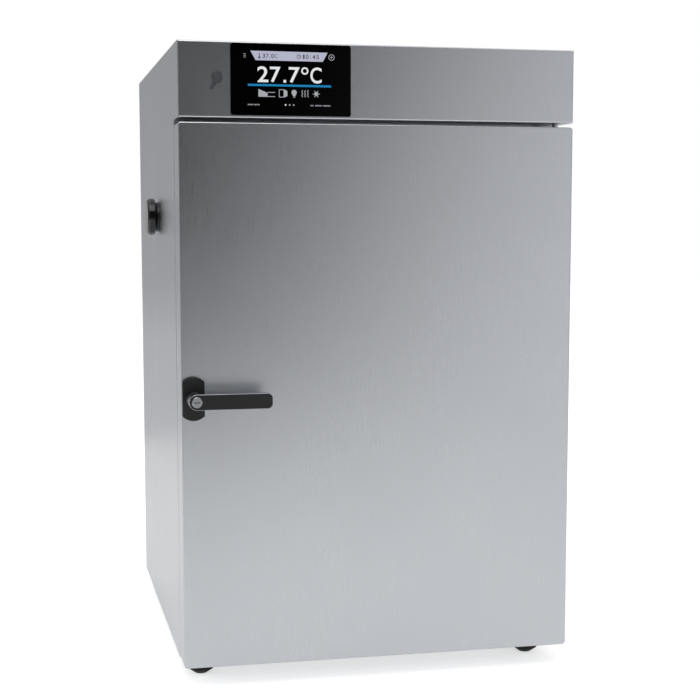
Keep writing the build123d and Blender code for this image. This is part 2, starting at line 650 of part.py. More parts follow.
# Fascia panel: a folded box over the door, open at the rear, with the display's window
GLASS_WIDTH = 191.8
GLASS_HEIGHT = 111.0
GLASS_X = MID - 146.4
GLASS_Z = BOTTOM + 938.8
GLASS_THICKNESS = 2.0
SOCKET_X = MID - 263.0
SOCKET_Z = BOTTOM + 941.0
SOCKET_HOLE = (14.0, 7.0)
with BuildPart() as fascia_panel:
    with BuildSketch(front_plane(FRONT)):
        rectangle_between((LEFT, RIGHT), (FASCIA_BOTTOM, TOP))
    extrude(amount=-FASCIA_DEPTH)
    fillet(fascia_panel.faces().sort_by(Axis.Y)[0].edges(), BEND)
    with BuildSketch(front_plane(FRONT + SHEET)):
        rectangle_between((LEFT + SHEET, RIGHT - SHEET), (FASCIA_BOTTOM + SHEET, TOP - SHEET), 1.0)
    extrude(amount=-FASCIA_DEPTH, mode=Mode.SUBTRACT)
    with BuildSketch(front_plane(FRONT)):
        with Locations((GLASS_X, GLASS_Z)):
            RectangleRounded(GLASS_WIDTH - 16.0, GLASS_HEIGHT - 16.0, 3.0)
        with Locations((SOCKET_X, SOCKET_Z)):
            Rectangle(*SOCKET_HOLE)
    extrude(amount=-SHEET, mode=Mode.SUBTRACT)
    with BuildSketch(level(FASCIA_BOTTOM)):
        with Locations((HINGE_X, HINGE_Y)):
            Circle(PIN_RADIUS + 0.2)
    extrude(amount=SHEET, mode=Mode.SUBTRACT)
fascia_panel.part.label = "fascia_panel"
export_step(fascia_panel.part, "parts/fascia_panel.step")

# Display glass: a pane with rounded corners, bonded on the fascia
with BuildPart() as display_glass:
    with BuildSketch(front_plane(FRONT)):
        with Locations((GLASS_X, GLASS_Z)):
            RectangleRounded(GLASS_WIDTH, GLASS_HEIGHT, 4.0)
    extrude(amount=GLASS_THICKNESS)
    chamfer(display_glass.faces().sort_by(Axis.Y)[0].edges(), 0.2)
display_glass.part.label = "display_glass"
export_step(display_glass.part, "parts/display_glass.step")

# Display module: the screen in its metal frame with its board behind
with BuildPart() as display_module:
    with BuildSketch(front_plane(FRONT)):
        with Locations((GLASS_X, GLASS_Z)):
            RectangleRounded(GLASS_WIDTH - 17.0, GLASS_HEIGHT - 17.0, 2.0)
    extrude(amount=-8.0)
    with BuildSketch(front_plane(FRONT + 8.0)):
        with Locations((GLASS_X, GLASS_Z)):
            with GridLocations(150.0, 76.0, 2, 2):
                Circle(3.0)
    extrude(amount=-6.0)
    with BuildSketch(front_plane(FRONT + 14.0)):
        with Locations((GLASS_X, GLASS_Z)):
            RectangleRounded(164.0, 90.0, 2.0)
    extrude(amount=-1.6)
    with BuildSketch(front_plane(FRONT + 15.6)):
        with Locations((GLASS_X - 50.0, GLASS_Z), (GLASS_X + 40.0, GLASS_Z + 10.0)):
            Rectangle(26.0, 18.0)
    extrude(amount=-6.0)
display_module.part.label = "display_module"
export_step(display_module.part, "parts/display_module.step")

# Data socket: behind the fascia, left of the display
with BuildPart() as data_socket:
    with BuildSketch(front_plane(FRONT + SHEET)):
        with Locations((SOCKET_X, SOCKET_Z)):
            Rectangle(22.0, 14.0)
            Rectangle(13.2, 6.0, mode=Mode.SUBTRACT)
    extrude(amount=-16.0)
    with BuildSketch(front_plane(FRONT + 17.2)):
        with Locations((SOCKET_X, SOCKET_Z)):
            Rectangle(22.0, 14.0)
    extrude(amount=-2.0)
data_socket.part.label = "data_socket"
export_step(data_socket.part, "parts/data_socket.step")

# Data cap: a round-ended stopper with a pull tab, pushed into the data socket
CAP_REACH = 4.5
CAP_GAP = 0.3
with BuildPart() as data_cap:
    with BuildSketch(front_plane(FRONT - CAP_GAP)):
        with Locations((SOCKET_X, SOCKET_Z)):
            SlotOverall(20.0, 15.0, rotation=90)
    extrude(amount=CAP_REACH - CAP_GAP)
    fillet(data_cap.faces().sort_by(Axis.Y)[0].edges(), 1.5)
    with BuildSketch(front_plane(FRONT - CAP_GAP)):
        with Locations(Location((SOCKET_X - 6.0, SOCKET_Z - 12.0), 55.0)):
            SlotOverall(16.0, 5.0)
    extrude(amount=1.6)
    with BuildSketch(front_plane(FRONT - CAP_GAP)):
        with Locations((SOCKET_X, SOCKET_Z)):
            Rectangle(12.4, 5.2)
    extrude(amount=-10.0)
data_cap.part.label = "data_cap"
export_step(data_cap.part, "parts/data_cap.step")

# Control board: on stand-offs over the roof slab, with a heat sink, a transformer and connectors
BOARD_X = MID - 150.0
BOARD_Y = CABINET_FRONT + 210.0
BOARD_Z = SLAB_Z[1] + 8.0
with BuildPart() as control_board:
    with BuildSketch(level(BOARD_Z)):
        with Locations((BOARD_X, BOARD_Y)):
            RectangleRounded(200.0, 140.0, 3.0)
    extrude(amount=1.6)
    with BuildSketch(level(SLAB_Z[1])):
        with Locations((BOARD_X, BOARD_Y)):
            with GridLocations(186.0, 126.0, 2, 2):
                RegularPolygon(4.0, 6)
    extrude(amount=BOARD_Z - SLAB_Z[1])
    with BuildSketch(front_plane(BOARD_Y - 40.0)):
        with Locations((BOARD_X + 55.0, BOARD_Z + 16.6)):
            Rectangle(60.0, 30.0)
        with Locations((BOARD_X + 55.0, BOARD_Z + 19.6)):
            with GridLocations(8.0, 0, 7, 1):
                Rectangle(4.0, 24.1, mode=Mode.SUBTRACT)
    extrude(amount=-70.0)
    block(
        (BOARD_X - 80.0, BOARD_X - 30.0),
        (BOARD_Y - 45.0, BOARD_Y),
        (BOARD_Z + 1.6, BOARD_Z + 36.0),
    )
    block(
        (BOARD_X - 90.0, BOARD_X + 10.0),
        (BOARD_Y + 52.0, BOARD_Y + 64.0),
        (BOARD_Z + 1.6, BOARD_Z + 14.0),
    )
control_board.part.label = "control_board"
export_step(control_board.part, "parts/control_board.step")

# Power supply: an open metal tray with its board and parts, over the roof slab
SUPPLY_X = MID + 150.0
SUPPLY_Y = CABINET_FRONT + 230.0
with BuildPart() as power_supply:
    with BuildSketch(front_plane(SUPPLY_Y - 90.0)):
        folded_sheet(
            [
                (SUPPLY_X - 49.0, SLAB_Z[1] + 38.0),
                (SUPPLY_X - 49.0, SLAB_Z[1]),
                (SUPPLY_X + 49.0, SLAB_Z[1]),
                (SUPPLY_X + 49.0, SLAB_Z[1] + 38.0),
            ],
            Side.LEFT,
            thickness=2.0,
        )
    extrude(amount=-180.0)
    with BuildSketch(level(SLAB_Z[1] + 2.0)):
        with Locations((SUPPLY_X, SUPPLY_Y)):
            with GridLocations(46.0, 60.0, 2, 3):
                Rectangle(34.0, 40.0)
    extrude(amount=28.0)
power_supply.part.label = "power_supply"
export_step(power_supply.part, "parts/power_supply.step")

# Port sleeve: a tube from the left side into the chamber, with a flange on the chamber's wall
PORT_FLANGE_RADIUS = 26.0
PORT_FLANGE_THICKNESS = 4.5
with BuildPart() as port_sleeve:
    with BuildSketch(side_plane(LEFT - PORT_FLANGE_THICKNESS)):
        with Locations((PORT_Y, PORT_Z)):
            Circle(SLEEVE_RADIUS - 0.1)
    extrude(amount=CHAMBER_LEFT - LEFT + PORT_FLANGE_THICKNESS)
    with BuildSketch(side_plane(CHAMBER_LEFT)):
        with Locations((PORT_Y, PORT_Z)):
            Circle(PORT_FLANGE_RADIUS - 2.0)
    extrude(amount=2.0)
    with BuildSketch(side_plane(LEFT - PORT_FLANGE_THICKNESS)):
        with Locations((PORT_Y, PORT_Z)):
            Circle(PORT_RADIUS)
    extrude(amount=CHAMBER_LEFT - LEFT + 2 * PORT_FLANGE_THICKNESS, mode=Mode.SUBTRACT)
port_sleeve.part.label = "port_sleeve"
export_step(port_sleeve.part, "parts/port_sleeve.step")

# Port flange: a black ring around the sleeve's mouth on the left side
with BuildPart() as port_flange:
    with BuildSketch(side_plane(LEFT)):
        with Locations((PORT_Y, PORT_Z)):
            Circle(PORT_FLANGE_RADIUS)
            Circle(SLEEVE_RADIUS, mode=Mode.SUBTRACT)
    extrude(amount=-PORT_FLANGE_THICKNESS)
    outer_rim = port_flange.faces().sort_by(Axis.X)[0].edges().sort_by(SortBy.RADIUS)[-1]
    fillet(outer_rim, 1.5)
port_flange.part.label = "port_flange"
export_step(port_flange.part, "parts/port_flange.step")

# Port plug: a turned knob with a flat face and a rounded rim, on a stem that fills the sleeve's mouth
KNOB_RADIUS = 32.5
KNOB_BACK = 6.5
RIM_ROUND = 5.0
STEM_LENGTH = 34.0
with BuildPart() as port_plug:
    with BuildSketch(front_plane(PORT_Y)):
        with BuildLine():
            Polyline(
                (LEFT + STEM_LENGTH, PORT_Z),
                (LEFT + STEM_LENGTH, PORT_Z + PORT_RADIUS - 1.5),
                (LEFT + STEM_LENGTH - 3.0, PORT_Z + PORT_RADIUS - 0.4),
                (LEFT - KNOB_BACK, PORT_Z + PORT_RADIUS - 0.4),
                (LEFT - KNOB_BACK, PORT_Z + KNOB_RADIUS - 2.0),
                (LEFT - KNOB_BACK - 2.0, PORT_Z + KNOB_RADIUS),
                (LEFT - KNOB_REACH, PORT_Z + KNOB_RADIUS),
                (LEFT - KNOB_REACH, PORT_Z),
                close=True,
            )
        make_face()
    revolve(axis=Axis((LEFT, PORT_Y, PORT_Z), (1, 0, 0)))
    fillet(port_plug.faces().sort_by(Axis.X)[0].edges(), RIM_ROUND)
port_plug.part.label = "port_plug"
export_step(port_plug.part, "parts/port_plug.step")

# Compressor: an oval can with a domed top on a foot plate, with its terminal box
COMPRESSOR_X = MID - 90.0
COMPRESSOR_Y = FRONT + 490.0
COMPRESSOR_BASE = BOTTOM + PAN_THICKNESS
COMPRESSOR_HEIGHT = 150.0
with BuildPart() as compressor:
    with BuildSketch(level(COMPRESSOR_BASE + 12.0)):
        with Locations((COMPRESSOR_X, COMPRESSOR_Y)):
            Ellipse(84.0, 66.0)
    extrude(amount=COMPRESSOR_HEIGHT - 12.0)
    fillet(compressor.faces().sort_by(Axis.Z)[-1].edges(), 34.0)
    with BuildSketch(level(COMPRESSOR_BASE + 8.0)):
        with Locations((COMPRESSOR_X, COMPRESSOR_Y)):
            RectangleRounded(230.0, 110.0, 12.0)
    extrude(amount=4.0)
    with BuildSketch(level(COMPRESSOR_BASE)):
        with Locations((COMPRESSOR_X, COMPRESSOR_Y)):
            with GridLocations(204.0, 84.0, 2, 2):
                Circle(10.0)
    extrude(amount=8.0)
    block(
        (COMPRESSOR_X + 76.0, COMPRESSOR_X + 104.0),
        (COMPRESSOR_Y - 28.0, COMPRESSOR_Y + 28.0),
        (COMPRESSOR_BASE + 50.0, COMPRESSOR_BASE + 105.0),
    )
compressor.part.label = "compressor"
export_step(compressor.part, "parts/compressor.step")

# Condenser: a block of upright fins between a top and a bottom plate, behind the rear louvres
CONDENSER_X = (LOUVRE_X - 160.0, LOUVRE_X + 160.0)
CONDENSER_Y = (REAR - 46.0, REAR - 10.0)
CONDENSER_Z = (BOTTOM + 40.0, BOTTOM + 180.0)
CONDENSER_MIDDLE = (CONDENSER_Z[0] + CONDENSER_Z[1]) / 2
CONDENSER_FINS = 31
FIN_PITCH = 10.0
with BuildPart() as condenser:
    with BuildSketch(front_plane(CONDENSER_Y[0])):
        rectangle_between(CONDENSER_X, CONDENSER_Z)
        with Locations((LOUVRE_X, CONDENSER_MIDDLE)):
            with GridLocations(FIN_PITCH, 0, CONDENSER_FINS, 1):
                Rectangle(FIN_PITCH - 1.5, 126.0, mode=Mode.SUBTRACT)
    extrude(amount=CONDENSER_Y[0] - CONDENSER_Y[1])
    with BuildSketch(side_plane(CONDENSER_X[0])):
        with Locations(((CONDENSER_Y[0] + CONDENSER_Y[1]) / 2, CONDENSER_MIDDLE)):
            with GridLocations(0, 50.0, 1, 3):
                RegularPolygon(5.0, 6)
    extrude(amount=CONDENSER_X[1] - CONDENSER_X[0])
    with BuildSketch(level(BOTTOM + PAN_THICKNESS)):
        with Locations((LOUVRE_X, (CONDENSER_Y[0] + CONDENSER_Y[1]) / 2)):
            with GridLocations(280.0, 0, 2, 1):
                Rectangle(24.0, 30.0)
    extrude(amount=CONDENSER_Z[0] - BOTTOM - PAN_THICKNESS)
condenser.part.label = "condenser"
export_step(condenser.part, "parts/condenser.step")

# Condenser fan: a square frame with a round opening and four struts to its motor
COOLER_Z = CONDENSER_MIDDLE
COOLER_Y = (CONDENSER_Y[0] - 30.0, CONDENSER_Y[0])
COOLER_RADIUS = 48.0
COOLER_FRAME = 112.0
STRUT_LENGTH = 106.0
COOLER_HUB = 20.0
with BuildPart() as condenser_fan_frame:
    with BuildSketch(front_plane(COOLER_Y[0])):
        with Locations((LOUVRE_X, COOLER_Z)):
            RectangleRounded(COOLER_FRAME, COOLER_FRAME, 8.0)
            Circle(COOLER_RADIUS + 2.0, mode=Mode.SUBTRACT)
    extrude(amount=COOLER_Y[0] - COOLER_Y[1])
    with BuildSketch(front_plane(COOLER_Y[0])):
        with Locations((LOUVRE_X, COOLER_Z)):
            Rectangle(STRUT_LENGTH, 6.0)
            Rectangle(6.0, STRUT_LENGTH)
            Circle(COOLER_HUB)
    extrude(amount=-4.0)
    with BuildSketch(front_plane(COOLER_Y[0])):
        with Locations((LOUVRE_X, COOLER_Z)):
            Circle(3.0)
    extrude(amount=-22.0)
condenser_fan_frame.part.label = "condenser_fan_frame"
export_step(condenser_fan_frame.part, "parts/condenser_fan_frame.step")

# Condenser fan wheel: a hub with five twisted blades, each lofted from a steep root to a flat tip
COOLER_BLADES = 5
ROOT_PITCH = 42.0
TIP_PITCH = 24.0
with BuildPart() as fan_blade:
    for radius, chord, pitch in (
        (COOLER_HUB - 3.0, 20.0, ROOT_PITCH),
        (COOLER_RADIUS - 2.0, 30.0, TIP_PITCH),
    ):
        with BuildSketch(Plane(origin=(0, 0, radius), z_dir=(0, 0, 1)).rotated((0, 0, pitch))):
            Rectangle(chord, 1.6)
    loft()

with BuildPart() as condenser_fan_wheel:
    with BuildSketch(front_plane(COOLER_Y[0] + 5.0)):
        with Locations((LOUVRE_X, COOLER_Z)):
            Circle(COOLER_HUB)
            Circle(3.0 + RUNNING_FIT, mode=Mode.SUBTRACT)
    extrude(amount=-22.0)
    for blade_number in range(COOLER_BLADES):
        turn = blade_number * 360 / COOLER_BLADES
        with Locations(Location((LOUVRE_X, COOLER_Y[0] + 16.0, COOLER_Z), (0, turn, 0))):
            add(fan_blade.part)
condenser_fan_wheel.part.label = "condenser_fan_wheel"
export_step(condenser_fan_wheel.part, "parts/condenser_fan_wheel.step")

# Refrigerant pipes: hot gas to the condenser, liquid to the evaporator and suction back to the compressor
CAN_TOP = COMPRESSOR_BASE + COMPRESSOR_HEIGHT
PIPE_RISE = SLAB_Z[0] - 8.0
HOT_RISE = PIPE_RISE - 32.0
PIPE_Y = SLAB_BACK + 44.0
END_Y = (CONDENSER_Y[0] + CONDENSER_Y[1]) / 2
HOT_X = COMPRESSOR_X + 20.0
SUCTION_X = COMPRESSOR_X - 20.0
RETURN_X = PIPE_X + 24.0
PIPE_ROUTES = [
    [
        (HOT_X, COMPRESSOR_Y, CAN_TOP),
        (HOT_X, COMPRESSOR_Y, HOT_RISE),
        (CONDENSER_X[1] + 24.0, COMPRESSOR_Y, HOT_RISE),
        (CONDENSER_X[1] + 24.0, END_Y, HOT_RISE),
        (CONDENSER_X[1] + 24.0, END_Y, CONDENSER_MIDDLE + 50.0),
        (CONDENSER_X[1], END_Y, CONDENSER_MIDDLE + 50.0),
    ],
    [
        (CONDENSER_X[1], END_Y, CONDENSER_MIDDLE - 50.0),
        (PIPE_X, END_Y, CONDENSER_MIDDLE - 50.0),
        (PIPE_X, END_Y, PIPE_Z[0]),
        (PIPE_X, SLAB_BACK + 10.0, PIPE_Z[0]),
    ],
    [
        (PIPE_X, SLAB_BACK + 10.0, PIPE_Z[1]),
        (PIPE_X, PIPE_Y, PIPE_Z[1]),
        (RETURN_X, PIPE_Y, PIPE_Z[1]),
        (RETURN_X, PIPE_Y, PIPE_RISE),
        (RETURN_X, COMPRESSOR_Y - 24.0, PIPE_RISE),
        (SUCTION_X, COMPRESSOR_Y - 24.0, PIPE_RISE),
        (SUCTION_X, COMPRESSOR_Y - 24.0, CAN_TOP),
    ],
]
with BuildPart() as refrigerant_pipes:
    for route in PIPE_ROUTES:
        with BuildLine() as pipe_path:
            FilletPolyline(*route, radius=11.0)
        with BuildSketch(Plane(origin=pipe_path.line @ 0, z_dir=pipe_path.line % 0)):
            Circle(PIPE_RADIUS)
        sweep(path=pipe_path.line)
refrigerant_pipes.part.label = "refrigerant_pipes"
export_step(refrigerant_pipes.part, "parts/refrigerant_pipes.step")

# Mains inlet: one moulded module with the socket below, a fuse drawer and the switch's opening above
INLET_FACE = REAR - SHEET + 2.5
SOCKET_DEPTH = 16.0
FUSE_Z = MAINS_Z + 2.0
ROCKER_Z = MAINS_Z + 24.0
ROCKER_OPENING = (13.0, 21.4)
with BuildPart() as mains_inlet:
    with BuildSketch(front_plane(REAR - SHEET)):
        with Locations((MAINS_X, MAINS_Z)):
            RectangleRounded(MAINS_SIZE[0] + 8.0, MAINS_SIZE[1] + 8.0, 3.0)
    extrude(amount=-2.5)
    with BuildSketch(front_plane(REAR - SHEET)):
        with Locations((MAINS_X, MAINS_Z)):
            Rectangle(*MAINS_SIZE)
    extrude(amount=32.0)
    with BuildSketch(front_plane(INLET_FACE)):
        with Locations((MAINS_X, MAINS_Z - 22.0)):
            RectangleRounded(24.5, 17.0, 3.0)
    extrude(amount=SOCKET_DEPTH, mode=Mode.SUBTRACT)
    with BuildSketch(front_plane(INLET_FACE - SOCKET_DEPTH)):
        with Locations(
            (MAINS_X - 7.0, MAINS_Z - 24.0), (MAINS_X, MAINS_Z - 20.0), (MAINS_X + 7.0, MAINS_Z - 24.0)
        ):
            Rectangle(2.0, 4.0)
    extrude(amount=-8.0)
    with BuildSketch(front_plane(INLET_FACE)):
        with Locations((MAINS_X, ROCKER_Z)):
            Rectangle(*ROCKER_OPENING)
    extrude(amount=14.0, mode=Mode.SUBTRACT)
    with BuildSketch(front_plane(INLET_FACE)):
        with Locations((MAINS_X, FUSE_Z)):
            Rectangle(24.0, 14.0)
            Rectangle(22.6, 12.6, mode=Mode.SUBTRACT)
    extrude(amount=0.8, mode=Mode.SUBTRACT)
mains_inlet.part.label = "mains_inlet"
export_step(mains_inlet.part, "parts/mains_inlet.step")

# Mains rocker: a key with a shallow V across its face, tipped so that its upper half is pressed in
ROCKER_TIP = 8.0
ROCKER_PIVOT_Y = INLET_FACE - 3.0
ROCKER_WIDTH = ROCKER_OPENING[0] - 0.7
rocker_plane = Plane(
    origin=(MAINS_X - ROCKER_WIDTH / 2, ROCKER_PIVOT_Y, ROCKER_Z),
    x_dir=(0, math.cos(math.radians(ROCKER_TIP)), math.sin(math.radians(ROCKER_TIP))),
    z_dir=(1, 0, 0),
)
with BuildPart() as mains_rocker:
    with BuildSketch(rocker_plane):
        with BuildLine():
            Polyline(
                (-1.0, -9.4),
                (4.6, -9.4),
                (3.4, 0),
                (4.6, 9.4),
                (-1.0, 9.4),
                (-6.5, 3.0),
                (-6.5, -3.0),
                close=True,
            )
        make_face()
    extrude(amount=ROCKER_WIDTH)
mains_rocker.part.label = "mains_rocker"
export_step(mains_rocker.part, "parts/mains_rocker.step")

# Hinge brackets: one inside the fascia's floor, one under the door, both fixed to the cabinet
BRACKET = 4.0
BRACKET_GAP = 0.8
PIN_DEPTH = 14.0
BRACKET_X = (HINGE_X - 28.0, RIGHT - 10.5)
TONGUE_X = (RIGHT - 15.0, RIGHT - 3.0)
TONGUE_END = CABINET_FRONT + 80.0
with BuildPart() as hinge_brackets:
    with BuildSketch(level(FASCIA_BOTTOM + SHEET)):
        rectangle_between(BRACKET_X, (HINGE_Y - 12.0, CABINET_FRONT + SHEET))
    extrude(amount=BRACKET)
    with BuildSketch(front_plane(CABINET_FRONT + SHEET - BRACKET)):
        rectangle_between(BRACKET_X, (FASCIA_BOTTOM + SHEET, FASCIA_BOTTOM + 34.0))
    extrude(amount=-BRACKET)
    with BuildSketch(level(BOTTOM - BRACKET_GAP - BRACKET)):
        with Locations((HINGE_X, HINGE_Y)):
            Circle(11.0)
        rectangle_between((HINGE_X, TONGUE_X[1]), (HINGE_Y - 11.0, CABINET_FRONT + BRACKET))
        rectangle_between(TONGUE_X, (CABINET_FRONT, TONGUE_END))
        with Locations((RIGHT - 9.0, TONGUE_END - 18.0), (RIGHT - 9.0, TONGUE_END - 50.0)):
            Circle(2.6, mode=Mode.SUBTRACT)
    extrude(amount=BRACKET)
    with BuildSketch(level(BOTTOM - BRACKET_GAP)):
        rectangle_between(TONGUE_X, (CABINET_FRONT + BRACKET, TONGUE_END))
        with Locations((RIGHT - 9.0, TONGUE_END - 18.0), (RIGHT - 9.0, TONGUE_END - 50.0)):
            Circle(2.6, mode=Mode.SUBTRACT)
    extrude(amount=BRACKET_GAP)
    with BuildSketch(level(BOTTOM - BRACKET)):
        with Locations((HINGE_X, HINGE_Y)):
            Circle(PIN_RADIUS)
    extrude(amount=BRACKET, mode=Mode.SUBTRACT)
    with BuildSketch(level(FASCIA_BOTTOM)):
        with Locations((HINGE_X, HINGE_Y)):
            Circle(PIN_RADIUS)
    extrude(amount=2 * BRACKET, mode=Mode.SUBTRACT)
hinge_brackets.part.label = "hinge_brackets"
export_step(hinge_brackets.part, "parts/hinge_brackets.step")

# Hinge pins: one down into the door's top, one up into its foot
with BuildPart() as hinge_pins:
    for low, high in (
        (DOOR_TOP - PIN_DEPTH, FASCIA_BOTTOM + SHEET + BRACKET),
        (BOTTOM - BRACKET, BOTTOM + PIN_DEPTH),
    ):
        with BuildSketch(level(low)):
            with Locations((HINGE_X, HINGE_Y)):
                Circle(PIN_RADIUS)
        extrude(amount=high - low)
    chamfer(hinge_pins.faces().sort_by(Axis.Z)[-1].edges(), 0.6)
hinge_pins.part.label = "hinge_pins"
export_step(hinge_pins.part, "parts/hinge_pins.step")

# Hinge bushes: plastic sleeves in the door's top and foot that turn on the pins
BUSH_DEPTH = PIN_DEPTH + 4.0
with BuildPart() as hinge_bushes:
    for low in (DOOR_TOP - BUSH_DEPTH, BOTTOM):
        with BuildSketch(level(low)):
            with Locations((HINGE_X, HINGE_Y)):
                Circle(BUSH_RADIUS)
        extrude(amount=BUSH_DEPTH)
    with BuildSketch(level(DOOR_TOP - PIN_DEPTH - 0.5)):
        with Locations((HINGE_X, HINGE_Y)):
            Circle(PIN_RADIUS + RUNNING_FIT)
    extrude(amount=PIN_DEPTH + 1.0, mode=Mode.SUBTRACT)
    with BuildSketch(level(BOTTOM - 0.5)):
        with Locations((HINGE_X, HINGE_Y)):
            Circle(PIN_RADIUS + RUNNING_FIT)
    extrude(amount=PIN_DEPTH + 1.0, mode=Mode.SUBTRACT)
hinge_bushes.part.label = "hinge_bushes"
export_step(hinge_bushes.part, "parts/hinge_bushes.step")

# Latch keeper: a bar behind the front frame, beside the slot, that the cam turns behind
KEEPER_THICKNESS = 3.0
with BuildPart() as latch_keeper:
    with BuildSketch(front_plane(CABINET_FRONT + 2 * SHEET)):
        rectangle_between((SLOT_X[1] + 1.0, SLOT_X[1] + 12.5), (HANDLE_Z - 22.0, HANDLE_Z + 22.0), 2.0)
        with Locations((SLOT_X[1] + 7.0, HANDLE_Z)):
            with GridLocations(0, 30.0, 1, 2):
                Circle(1.8, mode=Mode.SUBTRACT)
    extrude(amount=-(CAM_FRONT - 0.6 - CABINET_FRONT - 2 * SHEET))
latch_keeper.part.label = "latch_keeper"
export_step(latch_keeper.part, "parts/latch_keeper.step")

# Door switch: a magnetic sensor on the front frame, inside the gasket's ring
with BuildPart() as door_switch:
    with BuildSketch(front_plane(CABINET_FRONT + SHEET)):
        with Locations((LEFT + 90.0, DOOR_TOP - 55.0)):
            RectangleRounded(34.0, 12.0, 2.0)
    extrude(amount=6.0)
    fillet(door_switch.faces().sort_by(Axis.Y)[0].edges(), 1.0)
door_switch.part.label = "door_switch"
export_step(door_switch.part, "parts/door_switch.step")

# Door skin: a pan folded from one sheet, with its returns turned in behind to carry the gasket
RETURN = 42.0
DOOR_Z = (BOTTOM, DOOR_TOP)
with BuildPart() as door_skin:
    with BuildSketch(front_plane(FRONT)):
        rectangle_between((LEFT, RIGHT), DOOR_Z, DOOR_CORNER)
    extrude(amount=-DOOR_THICKNESS)
    fillet(door_skin.faces().sort_by(Axis.Y)[0].edges(), BEND)
    with BuildSketch(front_plane(FRONT + SHEET)):
        rectangle_between(
            (LEFT + SHEET, RIGHT - SHEET),
            (DOOR_Z[0] + SHEET, DOOR_Z[1] - SHEET),
            DOOR_CORNER - SHEET,
        )
    extrude(amount=-(DOOR_THICKNESS - 2 * SHEET), mode=Mode.SUBTRACT)
    with BuildSketch(front_plane(DOOR_BACK - 2 * SHEET)):
        rectangle_between(
            (LEFT + RETURN, RIGHT - RETURN), (DOOR_Z[0] + RETURN, DOOR_Z[1] - RETURN), 8.0
        )
    extrude(amount=-3 * SHEET, mode=Mode.SUBTRACT)
    with BuildSketch(front_plane(FRONT)):
        with Locations((HANDLE_X, HANDLE_Z)):
            Circle(NECK_RADIUS + 1.0)
    extrude(amount=-2 * SHEET, mode=Mode.SUBTRACT)
    with BuildSketch(front_plane(DOOR_BACK - 2 * SHEET)):
        with Locations((HANDLE_X, HANDLE_Z)):
            Circle(SPINDLE_RADIUS + 3.0)
    extrude(amount=-3 * SHEET, mode=Mode.SUBTRACT)
    with BuildSketch(level(BOTTOM - 1.0)):
        with Locations((HINGE_X, HINGE_Y)):
            Circle(BUSH_RADIUS)
    extrude(amount=DOOR_HEIGHT + 2.0, mode=Mode.SUBTRACT)
door_skin.part.label = "door_skin"
export_step(door_skin.part, "parts/door_skin.step")

# Door liner: the inner sheet behind the returns, pressed out into the chamber's mouth
FIELD_HEIGHT = 5.5
with BuildPart() as door_liner:
    with BuildSketch(front_plane(DOOR_BACK - 2 * SHEET)):
        rectangle_between(
            (LEFT + 24.0, RIGHT - 24.0), (DOOR_Z[0] + 24.0, DOOR_Z[1] - 24.0), 4.0
        )
        with Locations((HANDLE_X, HANDLE_Z)):
            Circle(SPINDLE_RADIUS + 3.0, mode=Mode.SUBTRACT)
    extrude(amount=-SHEET)
    with BuildSketch(front_plane(DOOR_BACK - SHEET)):
        rectangle_between(
            (CHAMBER_LEFT + 8.0, CHAMBER_RIGHT - 8.0),
            (CHAMBER_FLOOR + 8.0, CHAMBER_CEILING - 8.0),
            20.0,
        )
    extrude(amount=-(FIELD_HEIGHT + SHEET), taper=25.0)
    with BuildSketch(front_plane(DOOR_BACK - 2 * SHEET)):
        rectangle_between(
            (CHAMBER_LEFT + 10.0, CHAMBER_RIGHT - 10.0),
            (CHAMBER_FLOOR + 10.0, CHAMBER_CEILING - 10.0),
            18.0,
        )
    extrude(amount=-(FIELD_HEIGHT + SHEET), taper=25.0, mode=Mode.SUBTRACT)
door_liner.part.label = "door_liner"
export_step(door_liner.part, "parts/door_liner.step")

# Door insulation: it fills the pan, around the hinge bushes and the handle's spindle bush
SPINDLE_BUSH_RADIUS = 8.0
with BuildPart() as door_insulation:
    with BuildSketch(front_plane(FRONT + SHEET)):
        rectangle_between(
            (LEFT + SHEET, RIGHT - SHEET),
            (DOOR_Z[0] + SHEET, DOOR_Z[1] - SHEET),
            DOOR_CORNER - SHEET,
        )
        with Locations((HANDLE_X, HANDLE_Z)):
            Circle(SPINDLE_BUSH_RADIUS, mode=Mode.SUBTRACT)
    extrude(amount=-(DOOR_THICKNESS - 3 * SHEET))
    with BuildSketch(level(BOTTOM)):
        with Locations((HINGE_X, HINGE_Y)):
            Circle(BUSH_RADIUS)
    extrude(amount=BUSH_DEPTH, mode=Mode.SUBTRACT)
    with BuildSketch(level(DOOR_TOP - BUSH_DEPTH)):
        with Locations((HINGE_X, HINGE_Y)):
            Circle(BUSH_RADIUS)
    extrude(amount=BUSH_DEPTH, mode=Mode.SUBTRACT)
door_insulation.part.label = "door_insulation"
export_step(door_insulation.part, "parts/door_insulation.step")

# Door gasket: a soft ring on the returns that closes the gap to the front frame
GASKET_INSET = 26.0
GASKET_WIDTH = 12.0
GASKET_THICKNESS = DOOR_GAP - 0.4
with BuildPart() as door_gasket:
    with BuildSketch(front_plane(DOOR_BACK)):
        for inset, mode in ((GASKET_INSET, Mode.ADD), (GASKET_INSET + GASKET_WIDTH, Mode.SUBTRACT)):
            rectangle_between(
                (LEFT + inset, RIGHT - inset), (DOOR_Z[0] + inset, DOOR_Z[1] - inset), 6.0, mode
            )
    extrude(amount=-GASKET_THICKNESS)
    chamfer(door_gasket.faces().sort_by(Axis.Y)[-1].edges(), 1.5)
door_gasket.part.label = "door_gasket"
export_step(door_gasket.part, "parts/door_gasket.step")

